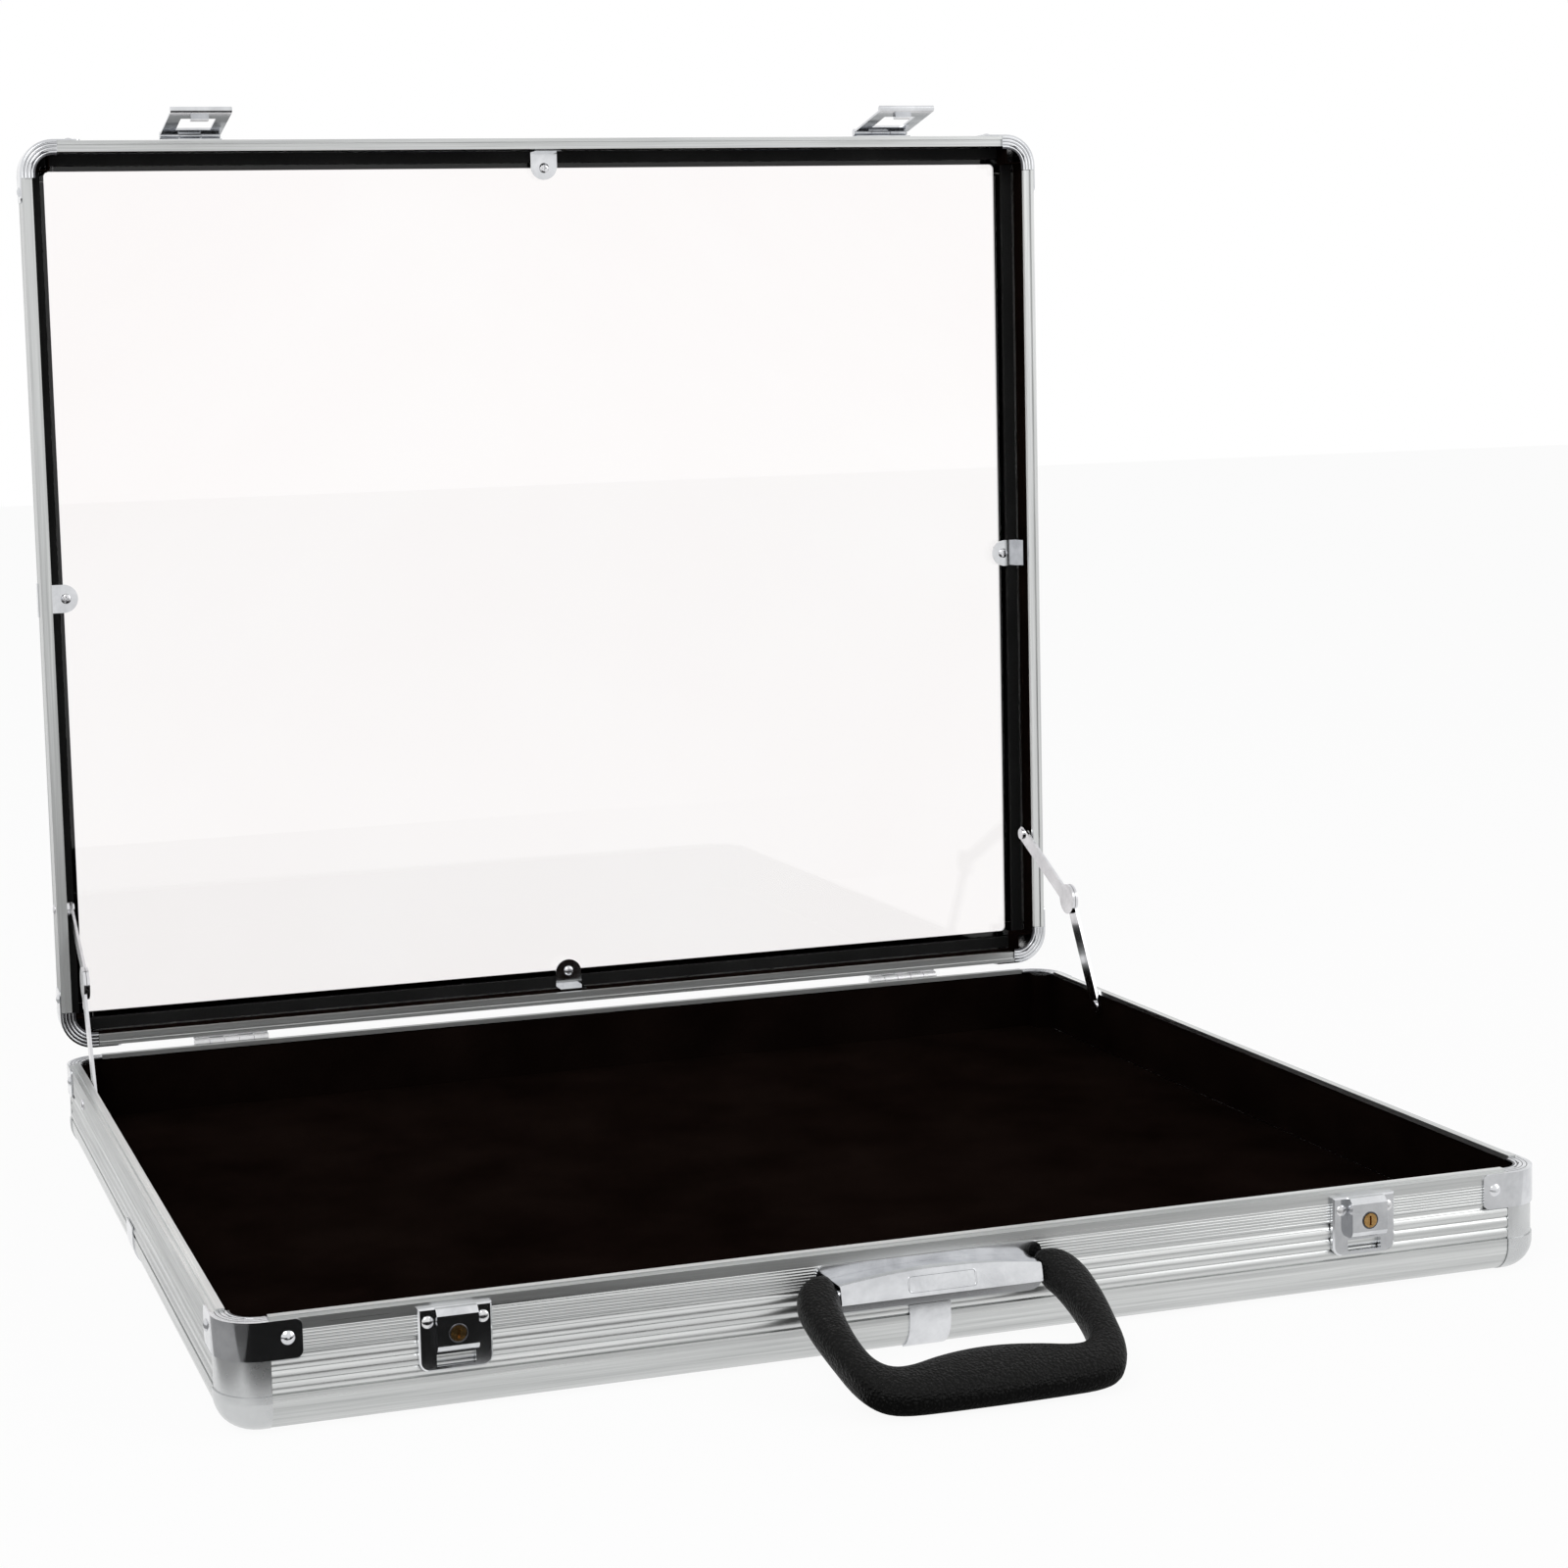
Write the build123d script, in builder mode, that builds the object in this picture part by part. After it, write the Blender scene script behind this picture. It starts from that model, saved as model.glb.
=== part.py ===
"""Aluminum display case: ribbed base frame, glazed lid, key locks, folding stays, carrying handle.

Millimetres. X runs along the front, Y from front to back and Z up. The origin is the middle of the
underside. Lid pieces are drawn on the closed case and turned about the hinge pins to the open lid.
"""
import os
from math import asin, cos, hypot, radians, sin, sqrt

from build123d import *

# Overall case
case_width = 610.0
case_depth = 508.0
base_height = 48.0
lid_height = 28.0
corner_radius = 18.0
seam_gap = 0.3
running_gap = 0.3
lid_open_angle = 90.0

# Wall extrusion
skin_thickness = 2.4
rim_width = 6.0
rim_shelf = 2.0
rim_step = 1.0
flange_thickness = 2.5
lip_thickness = 1.5
plain_band = 3.4
reed_pitch = 1.27
reed_depth = 0.3
rib_count = 3
rib_pitch = 4.9
rib_depth = 0.9
rib_groove = 2.6
base_rail_height = 17.0
base_rail_radius = 14.0
base_lip_reach = 20.0
lid_rail_height = 11.5
lid_rail_radius = 10.0
lid_lip_reach = 15.0

# Corners
post_reach = 20.4
wall_end_gap = 0.1
post_block = 15.5
ball_proud = 0.6
ball_lip_gap = 2.0
clip_plate = 1.0
clip_proud = 0.8
clip_skirt_gap = 0.05
clip_skirt_height = 16.0
clip_ear_reach = 33.5
clip_gusset = 12.0
ear_corner_radius = 3.0

# Rivets
rivet_from_corner = 27.5
rivet_drop = 7.4
rivet_shank_radius = 1.5
rivet_hole_gap = 0.05
rivet_head_radius = 2.9
rivet_head_height = 1.3

# Fillings
liner_thickness = 3.0
panel_thickness = 3.0
panel_edge_gap = 0.3
pad_thickness = 10.0
pad_side_gap = 0.3
pad_bottom_chamfer = 5.0
glass_thickness = 4.0
gasket_thickness = 3.0
gasket_width = 6.4

# Hinges
hinge_pin_setback = 4.0
hinge_spacing = 418.0
hinge_width = 43.0
hinge_knuckles = 5
hinge_knuckle_radius = 3.0
hinge_pin_radius = 1.2
hinge_leaf_thickness = 1.2
hinge_leaf_height = 14.0
hinge_axial_gap = 0.3
pin_fit = 0.05

# Locks and hasps
lock_spacing = 418.0
lock_plate_width = 31.0
lock_plate_bottom = 19.5
lock_plate_top = 46.0
lock_plate_proud = 2.5
lock_plate_corner = 4.5
lock_cover_width = 17.5
lock_cover_height = 18.0
lock_cover_proud = 4.8
lock_window_width = 16.5
lock_window_height = 5.0
lock_window_bottom = 21.4
cylinder_radius = 3.2
cylinder_below_top = 10.0
cylinder_proud = 0.4
keyway_width = 0.9
keyway_height = 4.2
keyway_depth = 1.6
hasp_width = 34.0
hasp_plate_thickness = 1.0
hasp_plate_height = 13.0
hasp_plate_above_seam = 4.0
hasp_axis_above_seam = 10.5
hasp_knuckle_radius = 2.0
hasp_knuckle_width = 12.0
hasp_pin_radius = 0.9
flap_thickness = 1.2
flap_gap = 0.4
flap_length = 41.5
flap_opening_gap = 1.0
flap_rest_lift = 12.0
tongue_width = 10.0
tongue_height = 3.6
tongue_depth = 2.0
lip_curl_radius = 1.8

# Handle
handle_back_plate_width = 104.0
handle_back_plate_height = 21.0
handle_back_plate_thickness = 1.0
bracket_width = 92.0
bracket_depth = 14.0
bracket_end_height = 9.5
bracket_mid_height = 12.5
handle_pivot_height = 32.5
handle_pivot_out = 9.6
handle_pin_radius = 2.5
handle_pin_depth = 12.0
grip_end_gap = 0.4
grip_thickness = 15.0
grip_boss = 7.0
grip_leg_outer = 67.0
grip_corner_x = 56.0
grip_bar_inner = 43.0
grip_bar_waist = 38.0
grip_bar_outer = 70.0
grip_bar_bulge = 74.0
grip_edge_radius = 5.5
handle_drop_angle = 21.3

# Strap clips
strap_width = 19.0
strap_thickness = 0.7
strap_top_overlap = 4.5
strap_wrap_angle = 66.0

# Lid stays
stay_base_y = 175.0
stay_base_z = 39.0
stay_lid_y = 175.5
stay_lid_z = 57.5
stay_arm_length = 68.0
stay_thickness = 1.5
stay_half_width = 4.5
stay_elbow_radius = 9.0
stay_pivot_radius = 2.0
stay_pivot_head_radius = 4.5
stay_pivot_head = 1.0

# Glass clips
clip_tab_width = 16.0
clip_tab_length = 17.0
clip_tab_thickness = 1.2
clip_leg_height = 11.0
screw_head_radius = 3.0
screw_head_height = 1.2

# Derived places
half_width = case_width / 2
half_depth = case_depth / 2
total_height = base_height + lid_height
corner_x = half_width - corner_radius
corner_y = half_depth - corner_radius
base_rim = base_height - seam_gap / 2
lid_rim = lid_height - seam_gap / 2
hinge_y = half_depth + hinge_pin_setback
hinge_axis = Axis((0, hinge_y, base_height), (1, 0, 0))
wall_end = post_reach + wall_end_gap
rivet_hole_radius = rivet_shank_radius + rivet_hole_gap
liner_face = skin_thickness + liner_thickness
pad_bottom = lip_thickness + panel_thickness
front_face = -half_depth

os.makedirs("parts", exist_ok=True)


def save(part, name, on_lid=False):
    """Label a piece and write it, turned to the open lid where it belongs to the lid."""
    placed = part.rotate(hinge_axis, -lid_open_angle) if on_lid else part
    placed.label = name
    export_step(placed, "parts/" + name + ".step")


def side_plane(outward, distance, on_lid):
    """Section plane of a wall: local X outward, local Y from the rail to the rim."""
    out = Vector(*outward)
    up = Vector(0, 0, -1) if on_lid else Vector(0, 0, 1)
    foot = out * distance + Vector(0, 0, total_height if on_lid else 0)
    return Plane(origin=foot, x_dir=out, z_dir=out.cross(up))


def wall_section(rim, crease, radius, lip_reach, lip_bottom, ribs, step, shelf):
    """Closed extrusion section: reeds, ribs, quarter-round rail, panel lip and rim flange."""
    rib_band = ribs * rib_pitch + (rib_groove if ribs else 0)
    reed_top = rim - plain_band
    reed_bottom = crease + rib_band
    reeds = int((reed_top - reed_bottom) / reed_pitch)
    reed_top = reed_bottom + reeds * reed_pitch
    step_z = rim + step
    flange_z = step_z - flange_thickness
    inner = radius - skin_thickness
    lip_top = lip_bottom + lip_thickness
    turn_z = max(lip_top, skin_thickness)
    turn_x = sqrt(inner ** 2 - (radius - turn_z) ** 2) - radius
    half_turn = (asin((radius - turn_z) / inner)) / 2
    with BuildLine() as outline:
        Line((0, rim), (0, reed_top))
        Line((0, reed_top), (-reed_depth, reed_top))
        for number in range(reeds):
            top = reed_top - number * reed_pitch
            ThreePointArc((-reed_depth, top), (0, top - reed_pitch / 2), (-reed_depth, top - reed_pitch))
        face = reed_depth
        if ribs:
            ThreePointArc(
                (-reed_depth, reed_bottom),
                (-rib_depth, reed_bottom - rib_groove / 2),
                (-reed_depth, reed_bottom - rib_groove),
            )
            rib_top = reed_bottom - rib_groove
            Line((-reed_depth, rib_top), (-rib_depth, rib_top))
            for number in range(ribs):
                top = rib_top - number * rib_pitch
                ThreePointArc((-rib_depth, top), (0, top - rib_pitch / 2), (-rib_depth, top - rib_pitch))
            face = rib_depth
        Line((-face, crease), (0, crease))
        Line((0, crease), (0, radius))
        ThreePointArc((0, radius), (-radius * (1 - sqrt(0.5)), radius * (1 - sqrt(0.5))), (-radius, 0))
        if lip_bottom:
            Line((-radius, 0), (-radius, lip_bottom))
        Polyline((-radius, lip_bottom), (-lip_reach, lip_bottom), (-lip_reach, lip_top), (turn_x, lip_top))
        if turn_z > lip_top:
            Line((turn_x, lip_top), (turn_x, turn_z))
        ThreePointArc(
            (turn_x, turn_z),
            (inner * cos(half_turn) - radius, radius - inner * sin(half_turn)),
            (-skin_thickness, radius),
        )
        Polyline(
            (-skin_thickness, radius),
            (-skin_thickness, flange_z),
            (-rim_width, flange_z),
            (-rim_width, step_z),
            (-shelf, step_z),
            (-shelf, rim),
            (0, rim),
        )
    return outline.edges()


def make_wall(outward, on_lid):
    """One straight wall extrusion with the rivet holes near its ends."""
    along_x = outward[1] != 0
    distance = half_depth if along_x else half_width
    half_length = half_width if along_x else half_depth
    if on_lid:
        section = wall_section(
            lid_rim, lid_rail_height, lid_rail_radius, lid_lip_reach, 0, 0, -rim_step, rim_shelf
        )
    else:
        section = wall_section(
            base_rim, base_rail_height, base_rail_radius, base_lip_reach, panel_thickness, rib_count,
            rim_step, rim_shelf + running_gap
        )
    with BuildPart() as wall:
        with BuildSketch(side_plane(outward, distance, on_lid)):
            make_face(section)
        extrude(amount=half_length - wall_end, both=True)
        hole_z = total_height - lid_rim + rivet_drop if on_lid else base_rim - rivet_drop
        holes = []
        for sign in (-1, 1):
            along = sign * (half_length - rivet_from_corner)
            if along_x:
                holes.append(Location((along, outward[1] * distance, hole_z), (90, 0, 0)))
            else:
                holes.append(Location((outward[0] * distance, along, hole_z), (0, 90, 0)))
        with Locations(*holes):
            Cylinder(rivet_hole_radius, 2 * liner_face - 0.8, mode=Mode.SUBTRACT)
    return wall.part


def from_corner(a, b):
    """Plan point a mm in from the right face and b mm in from the back face."""
    return (half_width - a, half_depth - b)


def four_corners():
    """Repeat the piece in the open block at the other three corners."""
    mirror(about=Plane.YZ)
    mirror(about=Plane.XZ)


def make_posts(bottom, top):
    """Corner posts: round outside, wall-thick flanges and a solid block cut off at a diagonal."""
    middle = corner_radius * (1 - sqrt(0.5))
    with BuildPart() as posts:
        with BuildSketch(Plane.XY.offset(bottom)):
            with BuildLine():
                ThreePointArc(from_corner(0, corner_radius), from_corner(middle, middle),
                              from_corner(corner_radius, 0))
                Polyline(
                    from_corner(corner_radius, 0),
                    from_corner(post_reach, 0),
                    from_corner(post_reach, skin_thickness),
                    from_corner(post_block, skin_thickness),
                    from_corner(post_block, liner_face),
                    from_corner(liner_face, post_block),
                    from_corner(skin_thickness, post_block),
                    from_corner(skin_thickness, post_reach),
                    from_corner(0, post_reach),
                    from_corner(0, corner_radius),
                )
            make_face()
        extrude(amount=top - bottom)
        four_corners()
    return posts.part


def ball_section(radius, crease, lip_reach, lip_bottom):
    """Section of a ball corner, measured outward from the corner's upright axis."""
    face = corner_radius + ball_proud
    centre = face - radius
    inner = radius - skin_thickness - ball_proud / 2
    lip_end = max(corner_radius - lip_reach, ball_lip_gap)
    lip_top = lip_bottom + lip_thickness
    turn_z = max(lip_top, radius - inner)
    turn_x = centre + sqrt(inner ** 2 - (radius - turn_z) ** 2)
    half_turn = asin((radius - turn_z) / inner) / 2
    with BuildLine() as outline:
        Line((face, crease), (face, radius))
        ThreePointArc((face, radius), (centre + radius * sqrt(0.5), radius * (1 - sqrt(0.5))), (centre, 0))
        if lip_bottom:
            Line((centre, 0), (centre, lip_bottom))
        Polyline((centre, lip_bottom), (lip_end, lip_bottom), (lip_end, lip_top), (turn_x, lip_top))
        if turn_z > lip_top:
            Line((turn_x, lip_top), (turn_x, turn_z))
        ThreePointArc(
            (turn_x, turn_z),
            (centre + inner * cos(half_turn), radius - inner * sin(half_turn)),
            (centre + inner, radius),
        )
        Polyline((centre + inner, radius), (centre + inner, crease), (face, crease))
    return outline.edges()


def make_balls(radius, crease, lip_reach, lip_bottom):
    """Ball corners: the rail section swept round the corner, with short straight legs."""
    leg = post_reach - corner_radius
    foot = (corner_x, corner_y, 0)
    section = ball_section(radius, crease, lip_reach, lip_bottom)
    with BuildPart() as balls:
        with BuildSketch(Plane(origin=foot, x_dir=(1, 0, 0), z_dir=(0, -1, 0))):
            make_face(section)
        revolve(axis=Axis(foot, (0, 0, 1)), revolution_arc=90)
        with BuildSketch(Plane(origin=foot, x_dir=(1, 0, 0), z_dir=(0, -1, 0))):
            make_face(section)
        extrude(amount=leg)
        with BuildSketch(Plane(origin=foot, x_dir=(0, 1, 0), z_dir=(1, 0, 0))):
            make_face(section)
        extrude(amount=-leg)
        four_corners()
    return balls.part


def make_rim_clips(rim):
    """Rim clips: a gusseted plate on the post and a skirt whose ears are riveted to the walls."""
    proud = clip_proud
    gap = clip_skirt_gap
    outer_mid = corner_radius - (corner_radius + proud) * sqrt(0.5)
    inner_mid = corner_radius - (corner_radius + gap) * sqrt(0.5)
    hole_z = rim - rivet_drop
    with BuildPart() as clips:
        with BuildSketch(Plane.XY.offset(rim - clip_plate)):
            with BuildLine():
                ThreePointArc(from_corner(-proud, corner_radius), from_corner(outer_mid, outer_mid),
                              from_corner(corner_radius, -proud))
                Polyline(
                    from_corner(corner_radius, -proud),
                    from_corner(post_reach, -proud),
                    from_corner(post_reach, rim_width),
                    from_corner(clip_gusset, rim_width),
                    from_corner(rim_width, clip_gusset),
                    from_corner(rim_width, post_reach),
                    from_corner(-proud, post_reach),
                    from_corner(-proud, corner_radius),
                )
            make_face()
        extrude(amount=clip_plate)
        with BuildSketch(Plane.XY.offset(rim - clip_skirt_height)):
            with BuildLine():
                Line(from_corner(-proud, clip_ear_reach), from_corner(-proud, corner_radius))
                ThreePointArc(from_corner(-proud, corner_radius), from_corner(outer_mid, outer_mid),
                              from_corner(corner_radius, -proud))
                Polyline(
                    from_corner(corner_radius, -proud),
                    from_corner(clip_ear_reach, -proud),
                    from_corner(clip_ear_reach, -gap),
                    from_corner(corner_radius, -gap),
                )
                ThreePointArc(from_corner(corner_radius, -gap), from_corner(inner_mid, inner_mid),
                              from_corner(-gap, corner_radius))
                Polyline(
                    from_corner(-gap, corner_radius),
                    from_corner(-gap, clip_ear_reach),
                    from_corner(-proud, clip_ear_reach),
                )
            make_face()
        extrude(amount=clip_skirt_height)
        ear_ends = (
            clips.edges().filter_by(Axis.Y).filter_by_position(Axis.X, *ear_end_span(half_width))
            + clips.edges().filter_by(Axis.X).filter_by_position(Axis.Y, *ear_end_span(half_depth))
        )
        fillet(ear_ends, ear_corner_radius)
        with Locations(
            Location((half_width - rivet_from_corner, half_depth, hole_z), (90, 0, 0)),
            Location((half_width, half_depth - rivet_from_corner, hole_z), (0, 90, 0)),
        ):
            Cylinder(rivet_hole_radius, 4 * clip_proud, mode=Mode.SUBTRACT)
        four_corners()
    return clips.part


def ear_end_span(half_length):
    """Range that holds only the short edges at an ear's end."""
    return (half_length - clip_ear_reach - 0.01, half_length - clip_ear_reach + 0.01)


def rivet_section(shank_length):
    """Half section of a domed rivet, head outward from the seat."""
    dome = (rivet_head_radius ** 2 + rivet_head_height ** 2) / (2 * rivet_head_height)
    half_angle = asin(rivet_head_radius / dome) / 2
    with BuildLine() as outline:
        Polyline(
            (0, rivet_head_height), (0, -shank_length), (rivet_shank_radius, -shank_length),
            (rivet_shank_radius, 0), (rivet_head_radius, 0),
        )
        ThreePointArc(
            (rivet_head_radius, 0),
            (dome * sin(half_angle), rivet_head_height - dome * (1 - cos(half_angle))),
            (0, rivet_head_height),
        )
    return outline.edges()


def make_corner_rivets(rim_z, drop):
    """Rivets through the ears of the rim clips, two at each corner."""
    z = rim_z - drop
    along = half_width - rivet_from_corner
    across = half_depth - rivet_from_corner
    section = rivet_section(clip_proud + skin_thickness)
    with BuildPart() as rivets:
        with BuildSketch(Plane(origin=(along, half_depth + clip_proud, z), x_dir=(1, 0, 0), z_dir=(0, 0, 1))):
            make_face(section)
        revolve(axis=Axis((along, half_depth, z), (0, 1, 0)))
        with BuildSketch(Plane(origin=(half_width + clip_proud, across, z), x_dir=(0, -1, 0), z_dir=(0, 0, 1))):
            make_face(section)
        revolve(axis=Axis((half_width, across, z), (1, 0, 0)))
        four_corners()
    return rivets.part


def make_liners(bottom, top):
    """Four felt-covered boards behind the skins, butted to the corner posts."""
    height = top - bottom
    middle = (bottom + top) / 2
    reach = skin_thickness + liner_thickness / 2
    long_x = case_width - 2 * (post_block + wall_end_gap)
    long_y = case_depth - 2 * (post_block + wall_end_gap)
    with BuildPart() as liners:
        with Locations((0, half_depth - reach, middle), (0, reach - half_depth, middle)):
            Box(long_x, liner_thickness, height)
        with Locations((half_width - reach, 0, middle), (reach - half_width, 0, middle)):
            Box(liner_thickness, long_y, height)
    return liners.part


def make_panel():
    """Bottom panel set flush between the rails, under their lips."""
    inset = base_rail_radius + panel_edge_gap
    with BuildPart() as panel:
        with BuildSketch(Plane.XY):
            RectangleRounded(case_width - 2 * inset, case_depth - 2 * inset, corner_radius - inset)
        extrude(amount=panel_thickness)
    return panel.part


def make_pad():
    """Felt-covered display pad with its corners cut for the posts."""
    inset = liner_face + pad_side_gap
    corner_cut = post_block + liner_face - 2 * inset + 2 * pad_side_gap
    with BuildPart() as pad:
        with BuildSketch(Plane.XY.offset(pad_bottom)):
            Rectangle(case_width - 2 * inset, case_depth - 2 * inset)
        extrude(amount=pad_thickness)
        chamfer(pad.edges().filter_by(Axis.Z), corner_cut)
        chamfer(pad.faces().sort_by(Axis.Z)[0].edges(), pad_bottom_chamfer)
    return pad.part


def make_glass():
    """Glass pane lying on the lips of the lid rails."""
    inset = lid_rail_radius + panel_edge_gap
    with BuildPart() as glass:
        with BuildSketch(Plane.XY.offset(total_height - lip_thickness)):
            RectangleRounded(case_width - 2 * inset, case_depth - 2 * inset, corner_radius - inset)
        extrude(amount=-glass_thickness)
    return glass.part


def make_gasket():
    """Black rubber frame that beds the edge of the glass."""
    outer = liner_face + pad_side_gap
    inner = outer + gasket_width
    with BuildPart() as gasket:
        with BuildSketch(Plane.XY.offset(total_height - lip_thickness - glass_thickness)):
            RectangleRounded(case_width - 2 * outer, case_depth - 2 * outer, corner_radius - outer)
            RectangleRounded(case_width - 2 * inner, case_depth - 2 * inner, gasket_width / 2,
                             mode=Mode.SUBTRACT)
        extrude(amount=-gasket_thickness)
    return gasket.part


def make_glass_clips():
    """Four tabs that hold the glass: a leg on the liner and a rounded foot on the gasket and glass."""
    foot_z = total_height - lip_thickness - glass_thickness - gasket_thickness
    with BuildPart() as tabs:
        for outward, distance in (((0, 1), half_depth), ((1, 0), half_width)):
            x_dir = Vector(-outward[0], -outward[1], 0)
            origin = Vector(outward[0], outward[1], 0) * (distance - liner_face) + Vector(0, 0, foot_z)
            with BuildSketch(Plane(origin=origin, x_dir=x_dir, z_dir=(0, 0, -1))):
                with BuildLine():
                    Polyline((clip_tab_length / 2, clip_tab_width / 2), (0, clip_tab_width / 2),
                             (0, -clip_tab_width / 2), (clip_tab_length / 2, -clip_tab_width / 2))
                    ThreePointArc((clip_tab_length / 2, -clip_tab_width / 2), (clip_tab_length, 0),
                                  (clip_tab_length / 2, clip_tab_width / 2))
                make_face()
            extrude(amount=clip_tab_thickness)
            with BuildSketch(Plane(origin=origin, x_dir=x_dir, z_dir=(0, 0, -1))):
                with Locations((clip_tab_thickness / 2, 0)):
                    Rectangle(clip_tab_thickness, clip_tab_width)
            extrude(amount=clip_leg_height)
            with BuildSketch(Plane(origin=origin, x_dir=x_dir, z_dir=(0, 0, 1))):
                with Locations((clip_tab_length * 0.75, 0)):
                    Rectangle(clip_tab_length * 0.25, clip_tab_width * 0.5)
            extrude(amount=gasket_thickness)
        mirror(about=Plane.YZ)
        mirror(about=Plane.XZ)
    return tabs.part


def make_strap_clips(radius, on_lid, places):
    """Bright straps bent round the rail, at the middle of each side."""
    wrap = radians(strap_wrap_angle)
    outer = radius + strap_thickness
    inner = radius
    crease = lid_rail_height if on_lid else base_rail_height
    top = crease + strap_top_overlap
    end_outer = (-radius + outer * cos(wrap), radius - outer * sin(wrap))
    end_inner = (-radius + inner * cos(wrap), radius - inner * sin(wrap))
    mid_outer = (-radius + outer * cos(wrap / 2), radius - outer * sin(wrap / 2))
    mid_inner = (-radius + inner * cos(wrap / 2), radius - inner * sin(wrap / 2))
    with BuildPart() as straps:
        for outward, distance, along in places:
            with BuildSketch(side_plane(outward, distance, on_lid)):
                with BuildLine():
                    Polyline((0, radius), (0, top), (strap_thickness, top), (strap_thickness, radius))
                    ThreePointArc((strap_thickness, radius), mid_outer, end_outer)
                    Line(end_outer, end_inner)
                    ThreePointArc(end_inner, mid_inner, (0, radius))
                make_face()
            extrude(amount=strap_width / 2, both=True)
    return straps.part


side_list = (
    ("front", (0, -1, 0)),
    ("back", (0, 1, 0)),
    ("left", (-1, 0, 0)),
    ("right", (1, 0, 0)),
)
for side_name, side_outward in side_list:
    save(make_wall(side_outward, False), "base_wall_" + side_name)
    save(make_wall(side_outward, True), "lid_wall_" + side_name, True)


def upside_down(part):
    """Turn a piece drawn like the base's into its place on the closed lid."""
    return part.mirror(Plane.XY).translate((0, 0, total_height))


save(make_posts(base_rail_height, base_rim - clip_plate), "base_corner_posts")
save(upside_down(make_posts(lid_rail_height, lid_rim - clip_plate)), "lid_corner_posts", True)
save(make_balls(base_rail_radius, base_rail_height, base_lip_reach, panel_thickness), "base_ball_corners")
save(
    upside_down(make_balls(lid_rail_radius, lid_rail_height, lid_lip_reach, 0)),
    "lid_ball_corners",
    True,
)
save(make_rim_clips(base_rim), "base_rim_clips")
save(upside_down(make_rim_clips(lid_rim)), "lid_rim_clips", True)
save(make_corner_rivets(base_rim, rivet_drop), "base_corner_rivets")
save(upside_down(make_corner_rivets(lid_rim, rivet_drop)), "lid_corner_rivets", True)

save(make_liners(pad_bottom + pad_thickness, base_rim + rim_step - flange_thickness), "base_liner_boards")
save(
    upside_down(make_liners(lid_rail_radius, lid_rim - rim_step - flange_thickness)),
    "lid_liner_boards",
    True,
)
save(make_panel(), "bottom_panel")
save(make_pad(), "display_pad")
save(make_glass(), "glass_pane", True)
save(make_gasket(), "glazing_gasket", True)
save(make_glass_clips(), "glass_clips", True)

strap_places = (
    ((0, -1, 0), half_depth, 0),
    ((0, 1, 0), half_depth, 0),
    ((-1, 0, 0), half_width, 0),
    ((1, 0, 0), half_width, 0),
)
save(make_strap_clips(base_rail_radius, False, strap_places), "base_strap_clips")
save(make_strap_clips(lid_rail_radius, True, strap_places), "lid_strap_clips", True)


# Hinges

def make_hinge_leaf(centre_x, on_lid):
    """One hinge leaf with its share of the knuckles, drawn for the closed case."""
    pitch = hinge_width / hinge_knuckles
    knuckle = pitch - hinge_axial_gap
    first = 1 if on_lid else 0
    way = 1 if on_lid else -1
    leaf_middle = base_height + way * (running_gap + hinge_knuckle_radius / 2 + hinge_leaf_height / 2)
    web_middle = base_height + way * (hinge_knuckle_radius - hinge_leaf_thickness / 2)
    numbers = range(first, hinge_knuckles, 2)
    centres = [centre_x - hinge_width / 2 + pitch * (number + 0.5) for number in numbers]
    with BuildPart() as leaf:
        with Locations((centre_x, half_depth + hinge_leaf_thickness / 2, leaf_middle)):
            Box(hinge_width, hinge_leaf_thickness, hinge_leaf_height)
        with Locations(*[(x, half_depth + hinge_pin_setback / 2, web_middle) for x in centres]):
            Box(knuckle, hinge_pin_setback, hinge_leaf_thickness)
        with Locations(*[Location((x, hinge_y, base_height), (0, 90, 0)) for x in centres]):
            Cylinder(hinge_knuckle_radius, knuckle)
        with Locations(Location((centre_x, hinge_y, base_height), (0, 90, 0))):
            Cylinder(hinge_pin_radius + pin_fit, hinge_width, mode=Mode.SUBTRACT)
    return leaf.part


def make_hinge_pin(centre_x):
    """Hinge pin held in the base leaf."""
    with BuildPart() as pin:
        with Locations(Location((centre_x, hinge_y, base_height), (0, 90, 0))):
            Cylinder(hinge_pin_radius, hinge_width)
    return pin.part


for hinge_side, sign in (("left", -1), ("right", 1)):
    hinge_x = sign * hinge_spacing / 2
    save(make_hinge_leaf(hinge_x, False), "hinge_base_leaf_" + hinge_side)
    save(make_hinge_leaf(hinge_x, True), "hinge_lid_leaf_" + hinge_side, True)
    save(make_hinge_pin(hinge_x), "hinge_pin_" + hinge_side)


# Locks on the base

lock_plate_face = front_face - lock_plate_proud
cover_face = lock_plate_face - lock_cover_proud
cylinder_z = lock_plate_top - cylinder_below_top
lock_plate_middle = (lock_plate_top + lock_plate_bottom) / 2


def make_lock_plate(centre_x):
    """Lock plate with rounded lower corners and the window that takes the flap's tongue."""
    height = lock_plate_top - lock_plate_bottom
    with BuildPart() as plate:
        with Locations((centre_x, front_face - lock_plate_proud / 2, lock_plate_middle)):
            Box(lock_plate_width, lock_plate_proud, height)
        lower = plate.edges().filter_by(Axis.Y).group_by(Axis.Z)[0]
        fillet(lower, lock_plate_corner)
        window_z = lock_window_bottom + lock_window_height / 2
        with Locations((centre_x, front_face - lock_plate_proud / 2, window_z)):
            Box(lock_window_width, lock_plate_proud, lock_window_height, mode=Mode.SUBTRACT)
        chamfer(plate.faces().sort_by(Axis.Y)[0].outer_wire().edges(), lock_plate_proud * 0.3)
    return plate.part


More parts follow.
